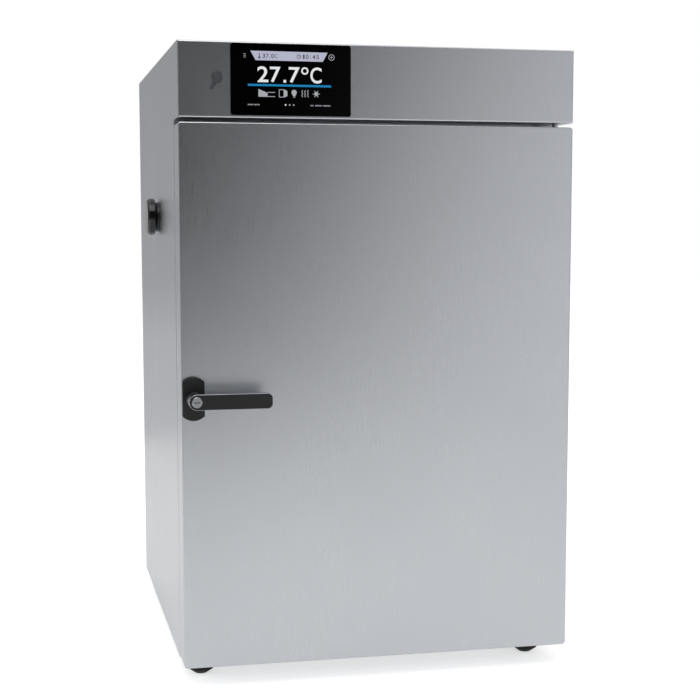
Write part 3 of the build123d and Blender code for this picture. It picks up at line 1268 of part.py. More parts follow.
# Handle escutcheon: a plate with straight sides and bowed ends, bored for the neck
PLATE_HALF_WIDTH = 17.65
PLATE_STRAIGHT = 27.2
PLATE_END_RADIUS = 24.5
PLATE_THICKNESS = 7.5
with BuildPart() as handle_escutcheon:
    with BuildSketch(front_plane(FRONT)):
        with BuildLine():
            right_side = Line(
                (HANDLE_X + PLATE_HALF_WIDTH, HANDLE_Z - PLATE_STRAIGHT),
                (HANDLE_X + PLATE_HALF_WIDTH, HANDLE_Z + PLATE_STRAIGHT),
            )
            left_side = Line(
                (HANDLE_X - PLATE_HALF_WIDTH, HANDLE_Z + PLATE_STRAIGHT),
                (HANDLE_X - PLATE_HALF_WIDTH, HANDLE_Z - PLATE_STRAIGHT),
            )
            RadiusArc(right_side @ 1, left_side @ 0, -PLATE_END_RADIUS)
            RadiusArc(left_side @ 1, right_side @ 0, -PLATE_END_RADIUS)
        make_face()
    extrude(amount=PLATE_THICKNESS)
    fillet(handle_escutcheon.faces().sort_by(Axis.Y)[0].edges(), 1.2)
    with BuildSketch(front_plane(FRONT)):
        with Locations((HANDLE_X, HANDLE_Z)):
            Circle(NECK_RADIUS + RUNNING_FIT)
    extrude(amount=PLATE_THICKNESS, mode=Mode.SUBTRACT)
handle_escutcheon.part.label = "handle_escutcheon"
export_step(handle_escutcheon.part, "parts/handle_escutcheon.step")

# Handle spindle: the stout neck in front of the door and the thin spindle through it, in one piece
INLAY_THICKNESS = 1.0
LOCK_PROUD = 0.8
LEVER_FRONT = FRONT - LEVER_REACH + LOCK_PROUD
LEVER_BACK = LEVER_FRONT + LEVER_THICKNESS
with BuildPart() as handle_spindle:
    with BuildSketch(front_plane(LEVER_BACK)):
        with Locations((HANDLE_X, HANDLE_Z)):
            Circle(NECK_RADIUS)
    extrude(amount=-(FRONT - 0.5 - LEVER_BACK))
    with BuildSketch(front_plane(FRONT - 0.5)):
        with Locations((HANDLE_X, HANDLE_Z)):
            Circle(SPINDLE_RADIUS)
    extrude(amount=-(CAM_FRONT + CAM_THICKNESS + 1.5 - FRONT + 0.5))
handle_spindle.part.label = "handle_spindle"
export_step(handle_spindle.part, "parts/handle_spindle.step")

# Spindle bush: the tube in the door that the spindle turns in
with BuildPart() as spindle_bush:
    with BuildSketch(front_plane(FRONT + SHEET)):
        with Locations((HANDLE_X, HANDLE_Z)):
            Circle(SPINDLE_BUSH_RADIUS)
            Circle(SPINDLE_RADIUS + RUNNING_FIT, mode=Mode.SUBTRACT)
    extrude(amount=-(DOOR_THICKNESS - 3 * SHEET))
spindle_bush.part.label = "spindle_bush"
export_step(spindle_bush.part, "parts/spindle_bush.step")

# Lever: a bar with a full round hub and softened corners, hollowed in front for its inlay and its lock
LOCK_RADIUS = 8.3
INLAY_MARGIN = 0.6
LEVER_CORNER = 8.0
LEVER_END = HANDLE_X + LEVER_LENGTH
with BuildSketch() as lever_outline:
    with Locations((HANDLE_X, HANDLE_Z)):
        Circle(LEVER_WIDTH / 2)
    with BuildLine():
        bar = FilletPolyline(
            (HANDLE_X, HANDLE_Z - LEVER_WIDTH / 2),
            (LEVER_END, HANDLE_Z - LEVER_WIDTH / 2),
            (LEVER_END, HANDLE_Z + LEVER_WIDTH / 2),
            (HANDLE_X, HANDLE_Z + LEVER_WIDTH / 2),
            radius=LEVER_CORNER,
        )
        Line(bar @ 1, bar @ 0)
    make_face()

with BuildPart() as lever:
    with BuildSketch(front_plane(LEVER_BACK)):
        add(lever_outline.sketch)
    extrude(amount=LEVER_THICKNESS)
    fillet(lever.faces().sort_by(Axis.Y)[-1].edges(), 3.0)
    with BuildSketch(front_plane(LEVER_FRONT)):
        add(offset(lever_outline.sketch, amount=-INLAY_MARGIN, mode=Mode.PRIVATE))
    extrude(amount=-INLAY_THICKNESS, mode=Mode.SUBTRACT)
    chamfer(lever.faces().sort_by(Axis.Y)[0].outer_wire().edges(), 0.3)
    with BuildSketch(front_plane(LEVER_FRONT)):
        with Locations((HANDLE_X, HANDLE_Z)):
            Circle(LOCK_RADIUS + RUNNING_FIT)
    extrude(amount=-(LEVER_THICKNESS - 3.0), mode=Mode.SUBTRACT)
lever.part.label = "lever"
export_step(lever.part, "parts/lever.step")

# Lever inlay: the black insert in the lever's front
with BuildPart() as lever_inlay:
    with BuildSketch(front_plane(LEVER_FRONT + INLAY_THICKNESS)):
        add(offset(lever_outline.sketch, amount=-INLAY_MARGIN, mode=Mode.PRIVATE))
        with Locations((HANDLE_X, HANDLE_Z)):
            Circle(LOCK_RADIUS + RUNNING_FIT, mode=Mode.SUBTRACT)
    extrude(amount=INLAY_THICKNESS)
lever_inlay.part.label = "lever_inlay"
export_step(lever_inlay.part, "parts/lever_inlay.step")

# Latch cam: a short arm on the spindle's end, upright beside the keeper until the lever turns
CAM_ARM = 21.5
with BuildPart() as latch_cam:
    with BuildSketch(front_plane(CAM_FRONT)):
        with Locations((HANDLE_X, HANDLE_Z)):
            Circle(8.0)
        rectangle_between((HANDLE_X - 5.5, HANDLE_X + 5.5), (HANDLE_Z, HANDLE_Z + CAM_ARM), 2.0)
        with Locations((HANDLE_X, HANDLE_Z)):
            Circle(SPINDLE_RADIUS, mode=Mode.SUBTRACT)
    extrude(amount=-CAM_THICKNESS)
latch_cam.part.label = "latch_cam"
export_step(latch_cam.part, "parts/latch_cam.step")

# Lock cylinder: a turned plug in the lever's hub with a key slot in its face
with BuildPart() as lock_cylinder:
    with BuildSketch(front_plane(LEVER_FRONT - LOCK_PROUD)):
        with Locations((HANDLE_X, HANDLE_Z)):
            Circle(LOCK_RADIUS)
    extrude(amount=-(LEVER_THICKNESS - 3.5 + LOCK_PROUD))
    chamfer(lock_cylinder.faces().sort_by(Axis.Y)[0].edges(), 0.6)
    with BuildSketch(front_plane(LEVER_FRONT - LOCK_PROUD)):
        with Locations((HANDLE_X, HANDLE_Z)):
            Rectangle(8.4, 1.8)
    extrude(amount=-5.0, mode=Mode.SUBTRACT)
lock_cylinder.part.label = "lock_cylinder"
export_step(lock_cylinder.part, "parts/lock_cylinder.step")
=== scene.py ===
import math

import bmesh
import bpy
from bpy.props import FloatProperty, FloatVectorProperty, IntProperty, PointerProperty, StringProperty
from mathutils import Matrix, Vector


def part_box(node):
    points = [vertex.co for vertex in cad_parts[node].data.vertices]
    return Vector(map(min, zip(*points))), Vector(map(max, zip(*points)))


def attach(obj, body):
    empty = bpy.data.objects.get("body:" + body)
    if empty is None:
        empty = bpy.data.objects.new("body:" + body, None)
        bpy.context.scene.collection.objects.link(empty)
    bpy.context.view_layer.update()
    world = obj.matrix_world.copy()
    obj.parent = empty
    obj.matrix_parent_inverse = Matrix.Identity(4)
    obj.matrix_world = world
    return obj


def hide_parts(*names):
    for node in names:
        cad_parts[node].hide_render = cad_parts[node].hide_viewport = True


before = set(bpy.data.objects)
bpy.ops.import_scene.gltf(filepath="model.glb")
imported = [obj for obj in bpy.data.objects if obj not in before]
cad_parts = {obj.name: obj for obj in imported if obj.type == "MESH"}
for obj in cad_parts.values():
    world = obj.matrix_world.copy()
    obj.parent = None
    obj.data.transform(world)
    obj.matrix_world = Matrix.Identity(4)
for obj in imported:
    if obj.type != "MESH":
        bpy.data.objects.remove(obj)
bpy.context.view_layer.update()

bl_info = {
    "name": "Laboratory incubator",
    "version": (1, 0, 0),
    "blender": (4, 5, 0),
    "location": "View3D > Sidebar > Incubator",
    "description": "Finishes and small pieces of a laboratory incubator over its CAD frame",
    "category": "Object",
}

MM = 0.001


def corner(node):
    """The lowest corner of a CAD node, in metres."""
    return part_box(node)[0]


def middle(node):
    """The middle of a CAD node, in metres."""
    low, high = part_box(node)
    return (low + high) / 2


# Materials


def linear(hex_colour):
    """A hex sRGB colour as linear RGBA."""
    parts = [int(hex_colour.lstrip("#")[i : i + 2], 16) / 255 for i in (0, 2, 4)]
    return [p / 12.92 if p <= 0.04045 else ((p + 0.055) / 1.055) ** 2.4 for p in parts] + [1.0]


def add(tree, kind, settings=None, links=None):
    """A node of this kind with its settings and the links into it."""
    node = tree.nodes.new(kind)
    for key, value in (settings or {}).items():
        if isinstance(key, str) and hasattr(node, key) and key not in node.inputs:
            setattr(node, key, value)
        else:
            node.inputs[key].default_value = value
    for key, source in (links or {}).items():
        tree.links.new(source, node.inputs[key])
    return node


def new_material(name, settings):
    """A material with a Principled shader; returns it, its tree and the shader."""
    made = bpy.data.materials.new(name)
    made.use_nodes = True
    shader = made.node_tree.nodes["Principled BSDF"]
    for key, value in settings.items():
        shader.inputs[key].default_value = value
    return made, made.node_tree, shader


def object_point(tree, grain_mm):
    """Object coordinates scaled so that one pattern unit is this many millimetres along each axis."""
    place = add(tree, "ShaderNodeTexCoord")
    per_metre = tuple(1000 / grain for grain in grain_mm)
    mapping = add(tree, "ShaderNodeMapping", {"Scale": per_metre}, {"Vector": place.outputs["Object"]})
    return mapping.outputs["Vector"]


def noise(tree, grain_mm, detail, **more):
    """A noise pattern with this grain along each axis, in millimetres, and these octaves of detail."""
    pattern = add(
        tree,
        "ShaderNodeTexNoise",
        {"Scale": 1.0, "Detail": detail, **more},
        {"Vector": object_point(tree, grain_mm)},
    )
    return pattern.outputs["Fac"]


# Where nearly all of a noise pattern's values lie
NOISE_SPAN = (0.3, 0.7)


def vary_roughness(tree, shader, pattern, least, most, span=NOISE_SPAN):
    """Lets the roughness follow a pattern between two values."""
    rough = add(
        tree,
        "ShaderNodeMapRange",
        {"From Min": span[0], "From Max": span[1], "To Min": least, "To Max": most},
        {"Value": pattern},
    )
    tree.links.new(rough.outputs["Result"], shader.inputs["Roughness"])


def emboss(tree, shader, pattern, strength, depth):
    """Raises the surface by a pattern, this many metres high."""
    relief = add(tree, "ShaderNodeBump", {"Strength": strength, "Distance": depth}, {"Height": pattern})
    tree.links.new(relief.outputs["Normal"], shader.inputs["Normal"])


def two_tone(tree, shader, pattern, dark, light, span=(0.0, 1.0)):
    """Colours the surface by a pattern, from one hex colour to another."""
    ramp = add(tree, "ShaderNodeValToRGB", None, {"Fac": pattern})
    for element, colour, position in zip(ramp.color_ramp.elements, (dark, light), span):
        element.color = linear(colour)
        element.position = position
    tree.links.new(ramp.outputs["Color"], shader.inputs["Base Color"])


# Brushed steel: the size of its cloudy patches, their share in the pattern and the shade of its streaks
CLOUD_MM = 180
CLOUD_SHARE = 0.35
STREAK_SHADE = 0.93


def brushed_stainless(name, colour, roughness, grain_mm, spread, bump):
    """Stainless steel sheet, rolled and then brushed with a fine belt.

    To the eye it is a soft grey mirror: wide blurred reflections, with faint streaks along the brushing.
    """
    made, tree, shader = new_material(
        name, {"Base Color": linear(colour), "Metallic": 1.0, "Roughness": roughness}
    )
    streak = noise(tree, grain_mm, 3.0, Roughness=0.6)
    cloud = noise(tree, (CLOUD_MM,) * 3, 2.0)
    blend = add(
        tree, "ShaderNodeMix", {"data_type": "FLOAT", "Factor": CLOUD_SHARE}, {"A": streak, "B": cloud}
    ).outputs["Result"]
    vary_roughness(tree, shader, blend, least=roughness - spread, most=roughness + spread)
    shade = [part * STREAK_SHADE for part in linear(colour)[:3]] + [1.0]
    tint = add(
        tree, "ShaderNodeMix", {"data_type": "RGBA", "A": linear(colour), "B": shade}, {"Factor": blend}
    )
    tree.links.new(tint.outputs["Result"], shader.inputs["Base Color"])
    emboss(tree, shader, streak, strength=bump, depth=0.1 * MM)
    return made


# Mouldings: the size of the patches where the gloss is uneven, and how far the roughness strays there
PATCH_MM = 25
PATCH_STRAY = 0.15


def moulded(name, colour, roughness, grain_mm, bump, coat=0.0, metallic=0.0, specular=0.5):
    """A moulded or coated surface: an even colour with a fine grain that breaks up its gloss."""
    made, tree, shader = new_material(
        name,
        {
            "Base Color": linear(colour),
            "Roughness": roughness,
            "Metallic": metallic,
            "Specular IOR Level": specular,
            "Coat Weight": coat,
            "Coat Roughness": 0.06,
        },
    )
    grain = noise(tree, (grain_mm,) * 3, 4.0)
    patch = noise(tree, (PATCH_MM,) * 3, 2.0)
    stray = roughness * PATCH_STRAY
    vary_roughness(tree, shader, patch, least=roughness - stray, most=roughness + stray)
    emboss(tree, shader, grain, strength=bump, depth=0.15 * MM)
    return made


def metal(name, colour, roughness, grain_mm, bump):
    """A drawn, cast or plated metal surface with the same kind of grain."""
    return moulded(name, colour, roughness, grain_mm, bump, metallic=1.0)


def mineral_wool(name):
    """Mineral wool board: matted yellow-brown fibres, felted into layers; its colour follows its relief,
    the fibres' own uneven tone with painted shade darkening the hollows.
    """
    made, tree, shader = new_material(
        name, {"Base Color": linear("#B79A55"), "Roughness": 0.95, "Sheen Weight": 0.3}
    )
    fibre_and_hollow_shade = noise(tree, (6, 6, 1.6), 6.0, Roughness=0.7, Distortion=1.2)
    # Painted shade: the colour is darker where the relief is low, so the hollows are darkened in the colour
    # itself; the rest of the change is the fibres' own uneven tone
    two_tone(tree, shader, fibre_and_hollow_shade, "#7E6734", "#CDB475", span=(0.35, 0.65))
    emboss(tree, shader, fibre_and_hollow_shade, strength=0.7, depth=1.2 * MM)
    return made


def galvanised(name):
    """Hot-dip galvanised sheet: dull grey zinc whose crystals catch the light as pale and dark flakes."""
    made, tree, shader = new_material(
        name, {"Base Color": linear("#A6ABAE"), "Metallic": 1.0, "Roughness": 0.42}
    )
    spangle = add(
        tree, "ShaderNodeTexVoronoi", {"Scale": 1.0}, {"Vector": object_point(tree, (9, 9, 9))}
    ).outputs["Color"]
    vary_roughness(tree, shader, spangle, least=0.34, most=0.5, span=(0.0, 1.0))
    two_tone(tree, shader, spangle, "#8F9598", "#B8BCBE")
    return made


def lit_print(name, colour, glow):
    """What the screen shows: colour that carries its own light behind the glass."""
    made, tree, shader = new_material(
        name,
        {
            "Base Color": (0, 0, 0, 1),
            "Specular IOR Level": 0.1,
            "Roughness": 0.2,
            "Emission Color": linear(colour),
            "Emission Strength": glow,
        },
    )
    vary_roughness(tree, shader, noise(tree, (3, 3, 3), 1.0), least=0.16, most=0.24)
    return made


def dress(made, *nodes):
    """Gives CAD nodes this material."""
    for name in nodes:
        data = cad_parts[name].data
        data.materials.clear()
        data.materials.append(made)


# Mesh helpers


def circle(radius, sides, centre=(0, 0)):
    """The corners of a regular polygon."""
    turns = [math.tau * i / sides for i in range(sides)]
    return [(centre[0] + radius * math.cos(turn), centre[1] + radius * math.sin(turn)) for turn in turns]


def mesh_of(work, name):
    """Ends this bmesh as a new mesh."""
    mesh = bpy.data.meshes.new(name)
    work.to_mesh(mesh)
    work.free()
    return mesh


def finish_mesh(name, mesh, made, body):
    """Merges doubles, turns the faces outwards, and links the finished object to its body."""
    work = bmesh.new()
    work.from_mesh(mesh)
    bmesh.ops.remove_doubles(work, verts=work.verts, dist=1e-6)
    bmesh.ops.recalc_face_normals(work, faces=work.faces)
    work.to_mesh(mesh)
    work.free()
    mesh.materials.clear()
    mesh.materials.append(made)
    made_object = bpy.data.objects.new(name, mesh)
    bpy.context.scene.collection.objects.link(made_object)
    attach(made_object, body)
    return made_object


def prism(work, outline, y_front, thickness):
    """A flat shape on the front, from its outline of (x, z) points, with this thickness behind it."""
    front = [work.verts.new((x, y_front, z)) for x, z in outline]
    back = [work.verts.new((x, y_front + thickness, z)) for x, z in outline]
    work.faces.new(front)
    work.faces.new(list(reversed(back)))
    for i in range(len(outline)):
        j = (i + 1) % len(outline)
        work.faces.new((front[j], front[i], back[i], back[j]))


# How far a character's outline is swollen, as a share of the type's size
BOLDER = 0.012


class FlatDrawing:
    """Strokes, discs and rings laid on the display, in millimetres from the glass's lower left corner."""

    def __init__(self, left, bottom, y_front, thickness):
        self.work = bmesh.new()
        self.left, self.bottom = left, bottom
        self.y, self.thickness = y_front, thickness

    def shape(self, points):
        """A filled outline."""
        outline = [(self.left + u * MM, self.bottom + v * MM) for u, v in points]
        prism(self.work, outline, self.y, self.thickness)

    def block(self, left, bottom, right, top):
        """A filled rectangle."""
        self.shape([(left, bottom), (right, bottom), (right, top), (left, top)])

    def stroke(self, start, end, width):
        """A straight line with square ends."""
        a, b = Vector(start), Vector(end)
        along = b - a
        side = Vector((-along.y, along.x)).normalized() * width / 2
        self.shape([a + side, a - side, b - side, b + side])

    def path(self, points, width):
        """A stroke from each point to the next."""
        for start, end in zip(points, points[1:]):
            self.stroke(start, end, width)

    def disc(self, centre, radius, sides=28):
        self.shape(circle(radius, sides, centre))

    def ring(self, centre, radius, width, sides=32):
        inner = circle(radius - width / 2, sides, centre)
        outer = circle(radius + width / 2, sides, centre)
        for i in range(sides):
            j = (i + 1) % sides
            self.shape([inner[i], outer[i], outer[j], inner[j]])

    def glyph(self, text, left, bottom, right, top):
        """A character stretched into a box."""
        curve = bpy.data.curves.new("glyph", "FONT")
        curve.body = text
        curve.offset = BOLDER
        holder = bpy.data.objects.new("glyph", curve)
        bpy.context.scene.collection.objects.link(holder)
        bpy.context.view_layer.update()
        evaluated = holder.evaluated_get(bpy.context.evaluated_depsgraph_get())
        flat = bpy.data.meshes.new_from_object(evaluated)
        low_u, high_u = min(v.co.x for v in flat.vertices), max(v.co.x for v in flat.vertices)
        low_v, high_v = min(v.co.y for v in flat.vertices), max(v.co.y for v in flat.vertices)
        for vertex in flat.vertices:
            u = left + (vertex.co.x - low_u) / (high_u - low_u) * (right - left)
            v = bottom + (vertex.co.y - low_v) / (high_v - low_v) * (top - bottom)
            vertex.co = (self.left + u * MM, self.y, self.bottom + v * MM)
        self.work.from_mesh(flat)
        bpy.data.objects.remove(holder)
        bpy.data.curves.remove(curve)
        bpy.data.meshes.remove(flat)


# Settings that a user would change


class IncubatorFinish(bpy.types.PropertyGroup):
    """Colours and roughness of the outer surfaces."""

    steel: StringProperty(name="Steel", description="Colour of the outer steel, as hex", default="#C9CCD0")
    inner_steel: StringProperty(
        name="Inner steel", description="Colour of the chamber's steel, as hex", default="#D2D4D6"
    )
    steel_roughness: FloatProperty(
        name="Steel roughness",
        description="Blur of the outer steel's reflections",
        default=0.29,
        min=0.1,
        max=0.8,
    )
    plastic: StringProperty(name="Plastic", description="Colour of the black mouldings", default="#0B0C0E")
    screen_glow: FloatProperty(
        name="Screen glow", description="Strength of the screen's own light", default=1.0, min=0.0, max=2.0
    )


class IncubatorSizes(bpy.types.PropertyGroup):
    """Sizes of the small pieces that are added to the frame."""

    screw_head: FloatProperty(
        name="Screw head", description="Radius of a pan head", default=3.4 * MM, unit="LENGTH"
    )
    screw_rise: FloatProperty(
        name="Screw rise", description="Height of a pan head", default=1.5 * MM, unit="LENGTH"
    )
    screw_seed: IntProperty(
        name="Screw seed", description="Seed for how far each screw was turned", default=7
    )
    gasket_width: FloatProperty(
        name="Gasket width", description="Width of the door seal's bead", default=11.6 * MM, unit="LENGTH"
    )
    print_rise: FloatProperty(
        name="Print rise",
        description="How far the figures stand off the glass",
        default=0.06 * MM,
        unit="LENGTH",
    )


class IncubatorStage(bpy.types.PropertyGroup):
    """The studio around the object."""

    floor_colour: StringProperty(
        name="Floor", description="Colour of the floor, as hex", default="#F4F4F4"
    )
    key_power: FloatProperty(
        name="Key light", description="Power of the overhead light", default=26.0, unit="POWER"
    )
    fill_power: FloatProperty(
        name="Fill light", description="Power of the left light", default=12.0, unit="POWER"
    )
    camera_place: FloatVectorProperty(
        name="Camera",
        description="Where the camera stands",
        default=(-0.5597, -2.6612, 0.7472),
        unit="LENGTH",
    )
    camera_heading: FloatVectorProperty(
        name="Heading", description="The camera's turn and tilt in degrees", size=2, default=(12.84, 6.01)
    )
    camera_shift: FloatVectorProperty(
        name="Shift",
        description="The lens's shift, as shares of the picture's width",
        size=2,
        default=(-0.0091, 0.0446),
        precision=4,
    )
    lens: FloatProperty(name="Lens", description="Focal length in millimetres", default=75.9)


# Operators


# Length of the brushing's streaks along x, y and z, in millimetres
UPRIGHT_GRAIN = (1.4, 1.4, 60)
LEVEL_GRAIN = (60, 1.4, 1.4)
CHAMBER_GRAIN = (2.0, 2.0, 40)


class STEEL_OT_sheets(bpy.types.Operator):
    """Stainless steel on the cabinet, the fascia, the door and the chamber, and zinc on the pan"""

    bl_idname = "incubator.steel_sheets"
    bl_label = "Steel sheets"

    def execute(self, context):
        look = context.scene.incubator_finish
        for face, grain, nodes in (
            ("front", UPRIGHT_GRAIN, ("fascia_panel", "door_skin", "front_frame", "rear_panel")),
            ("side", UPRIGHT_GRAIN, ("left_side_panel", "right_side_panel")),
            ("top", LEVEL_GRAIN, ("top_panel",)),
        ):
            made = brushed_stainless(
                "brushed_stainless_" + face,
                look.steel,
                look.steel_roughness,
                grain,
                spread=0.03,
                bump=0.015,
            )
            dress(made, *nodes)
        chamber = brushed_stainless(
            "polished_stainless_chamber", look.inner_steel, 0.24, CHAMBER_GRAIN, spread=0.04, bump=0.03
        )
        dress(chamber, "inner_chamber", "door_liner", "air_baffle", "shelf_uprights", "shelf_runners")
        dress(galvanised("galvanised_steel_pan"), "base_pan")
        return {"FINISHED"}


class MOULDING_OT_finishes(bpy.types.Operator):
    """Plastics, rubber, insulation and small metal parts of the frame"""

    bl_idname = "incubator.moulded_finishes"
    bl_label = "Mouldings and fittings"

    def execute(self, context):
        look = context.scene.incubator_finish
        black = moulded("moulded_polyamide_black", look.plastic, roughness=0.36, grain_mm=1.2, bump=0.08)
        gloss = moulded("polished_abs_black", "#060708", roughness=0.16, grain_mm=6.0, bump=0.02, coat=0.3)
        grey = moulded("moulded_abs_grey", "#46494D", roughness=0.42, grain_mm=0.9, bump=0.08, specular=0.3)
        chrome = metal("satin_chrome_zinc", "#B4B6BA", roughness=0.25, grain_mm=2.5, bump=0.02)
        zinc = metal("zinc_plated_steel", "#9A9EA2", roughness=0.36, grain_mm=2.0, bump=0.08)
        wire = metal("electropolished_wire", "#D3D5D7", roughness=0.18, grain_mm=3.0, bump=0.03)
        aluminium = metal("mill_aluminium", "#C9CBCD", roughness=0.33, grain_mm=1.0, bump=0.1)
        copper = metal("drawn_copper_tube", "#C27A55", roughness=0.28, grain_mm=4.0, bump=0.05)
        rubber = moulded("moulded_rubber_black", "#151516", roughness=0.62, grain_mm=0.7, bump=0.25)
        white = moulded("moulded_polypropylene_white", "#E4E4E0", roughness=0.45, grain_mm=1.5, bump=0.08)
        board = moulded("solder_mask_green", "#1F5A34", roughness=0.35, grain_mm=2.5, bump=0.3)
        enamel = moulded("baked_enamel_black", "#17181A", roughness=0.3, grain_mm=5.0, bump=0.12, coat=0.25)
        dress(black, "handle_escutcheon", "lever_inlay", "port_flange", "mains_inlet", "display_module")
        dress(black, "condenser_fan_frame", "condenser_fan_wheel", "door_switch")
        dress(black, "hinge_bushes", "spindle_bush")
        dress(gloss, "port_plug", "mains_rocker")
        dress(grey, "data_cap", "port_sleeve")
        dress(chrome, "lever", "handle_spindle", "lock_cylinder", "temperature_probe")
        dress(zinc, "hinge_brackets", "hinge_pins", "latch_keeper", "latch_cam", "fan_shaft", "heater")
        dress(zinc, "fan_motor", "data_socket")
        dress(wire, "shelf_1", "shelf_2", "shelf_3")
        dress(aluminium, "fan_wheel", "evaporator", "condenser", "power_supply")
        dress(copper, "refrigerant_pipes")
        dress(rubber, "foot_1", "foot_2", "foot_3", "foot_4")
        dress(white, "drain_tube", "chamber_lamp")
        dress(board, "control_board")
        dress(enamel, "compressor")
        dress(mineral_wool("mineral_wool_board"), "side_insulation", "insulation", "door_insulation")
        return {"FINISHED"}


# Rows of the screen and widths of its lines, in millimetres
DIGITS_BASE = 51.5
SEVEN_TOP = 75.7
ICON_BASE, ICON_TOP = 29.0, 40.5
ICON_LINE = 1.0
BAND_TEXT_BASE, BAND_TEXT_TOP = 88.8, 95.4
BAND_LINE = 0.9
DOTS_ROW = 17.0
TICKS_BASE, TICKS_TOP = 15.7, 17.6
TICK_PITCH, TICK_WIDTH = 1.8, 1.1


class DISPLAY_OT_screen(bpy.types.Operator):
    """The display glass and the figures that its screen shows"""

    bl_idname = "incubator.display_screen"
    bl_label = "Display"

    def execute(self, context):
        look = context.scene.incubator_finish
        rise = context.scene.incubator_sizes.print_rise
        glass = moulded(
            "back_printed_glass", "#020203", roughness=0.06, grain_mm=40.0, bump=0.01, specular=0.12
        )
        dress(glass, "display_glass")
        place = corner("display_glass")
        for name, fill, layer, ink, colour in (
            ("screen_band", self.band, 1, "screen_lavender", "#B4B4C8"),
            ("screen_figures", self.figures, 1, "screen_white", "#E4E5E7"),
            ("screen_line", self.line, 1, "screen_blue", "#1F7FB5"),
            ("screen_icons", self.icons, 1, "screen_grey", "#A6A8AE"),
            ("screen_marks", self.marks, 2, "screen_dark", "#4A4B58"),
        ):
            drawing = FlatDrawing(place.x, place.z, place.y - layer * rise, rise)
            fill(drawing)
            made = lit_print(ink, colour, look.screen_glow)
            finish_mesh(name, mesh_of(drawing.work, name), made, "cabinet")
        return {"FINISHED"}

    def band(self, drawing):
        drawing.shape([(31.2, 99.5), (39.4, 85.1), (146.5, 85.0), (154.1, 99.3)])

    def figures(self, drawing):
        """27.7 degrees C, and the first of the dots under the icons."""
        drawing.glyph("2", 41.9, DIGITS_BASE, 59.4, 75.9)
        drawing.glyph("7", 61.9, DIGITS_BASE, 78.9, SEVEN_TOP)
        drawing.glyph("7", 91.9, DIGITS_BASE, 109.5, SEVEN_TOP)
        drawing.glyph("C", 126.4, 51.2, 144.5, 76.0)
        drawing.block(83.4, DIGITS_BASE, 87.6, 55.7)
        drawing.ring((117.5, 70.2), 4.6, 2.4)
        drawing.disc((86.7, DOTS_ROW), 1.3)

    def line(self, drawing):
        drawing.block(26.9, 45.4, 159.6, 48.6)

    def icons(self, drawing):
        self.chart(drawing)
        self.door_and_lamp(drawing)
        self.heat_and_cold(drawing)
        for u in (93.1, 99.6):
            drawing.disc((u, DOTS_ROW), 1.2)
        self.menu_and_plus(drawing)
        for u, width in ((27.3, 8.4), (37.4, 8.9), (127.1, 6.1), (134.6, 11.0), (147.2, 12.0)):
            for tick in range(round(width / TICK_PITCH)):
                across = u + tick * TICK_PITCH
                drawing.stroke((across, TICKS_BASE), (across, TICKS_TOP), TICK_WIDTH)

    def chart(self, drawing):
        drawing.shape([(43.5, 41.0), (43.5, ICON_BASE), (58.0, ICON_BASE), (58.0, 35.0)])
        for v in (29.5, 36.0):
            drawing.stroke((58.0, v), (69.9, v), ICON_LINE)

    def door_and_lamp(self, drawing):
        left, edge, open_edge = 76.5, 84.0, 89.0
        drawing.path(
            [(edge, ICON_BASE), (left, ICON_BASE), (left, ICON_TOP), (edge, ICON_TOP), (edge, ICON_BASE)],
            ICON_LINE,
        )
        drawing.path(
            [(edge, ICON_TOP), (open_edge, 38.2), (open_edge, 31.0), (edge, ICON_BASE)], ICON_LINE
        )
        drawing.shape([(84.4, 40.0), (84.4, 29.5), (88.6, 31.3), (88.6, 37.9)])
        drawing.disc((100.3, 36.4), 4.2)
        drawing.shape([(97.0, 34.0), (98.6, 30.4), (102.0, 30.4), (103.6, 34.0)])
        drawing.stroke((98.8, ICON_BASE), (101.8, ICON_BASE), ICON_LINE)

    def heat_and_cold(self, drawing):
        """Three wavy lines and a six-armed star."""
        step, swing, first = 2.7, 0.9, 29.6
        for u in (113.2, 117.7, 122.2):
            drawing.path(
                [(u + (-swing if i % 2 else swing), first + i * step) for i in range(5)], ICON_LINE
            )
        u, v = 135.8, 34.8
        for turn in (0, 60, 120):
            du, dv = 5.6 * math.cos(math.radians(turn)), 5.6 * math.sin(math.radians(turn))
            drawing.stroke((u - du, v - dv), (u + du, v + dv), ICON_LINE)
        drawing.disc((u, v), 3.4, 6)

    def menu_and_plus(self, drawing):
        """Three short bars at the band's left, and a plus in a ring at its right."""
        for row in (89.4, 92.0, 94.6):
            drawing.stroke((20.5, row), (24.0, row), 0.8)
        u = 160.5
        drawing.ring((u, 92.1), 4.4, BAND_LINE)
        drawing.stroke((u, 90.2), (u, 94.2), BAND_LINE)
        drawing.stroke((u - 2.0, 92.2), (u + 2.0, 92.2), BAND_LINE)

    def marks(self, drawing):
        """In the band: a thermometer with its 37.0 C, and a clock with its 10:45."""
        drawing.stroke((45.3, 89.2), (45.3, 96.2), 1.2)
        drawing.disc((45.3, 89.4), 1.7)
        for text, left, right in (
            ("3", 49.9, 54.4),
            ("7", 55.8, 60.2),
            ("0", 64.0, 68.4),
            ("C", 69.6, 73.7),
            ("1", 114.6, 117.2),
            ("0", 119.0, 123.6),
            ("4", 129.8, 134.4),
            ("5", 136.0, 140.4),
        ):
            drawing.glyph(text, left, BAND_TEXT_BASE, right, BAND_TEXT_TOP)
        for point in ((126.7, 90.3), (126.7, 93.7), (62.1, 89.5)):
            drawing.disc(point, 0.7, 12)
        clock = (108.0, 92.0)
        drawing.ring(clock, 3.0, BAND_LINE)
        drawing.stroke(clock, (108.0, 94.2), 0.8)
        drawing.stroke(clock, (109.8, 92.0), 0.8)


# A pan head's outline, as shares of its radius and its height, from the seat to the crown
HEAD_PROFILE = ((1.0, 0.0), (1.0, 0.45), (0.82, 0.85), (0.5, 1.0))
HEAD_SIDES = 16
# The cross recess, as shares of the head's radius: at an arm, beside it, between two arms, beside the next
CROSS_REACH = (0.46, 0.2, 0.14, 0.2)
RECESS_TAPER = 0.7
RECESS_FLOOR = 0.25


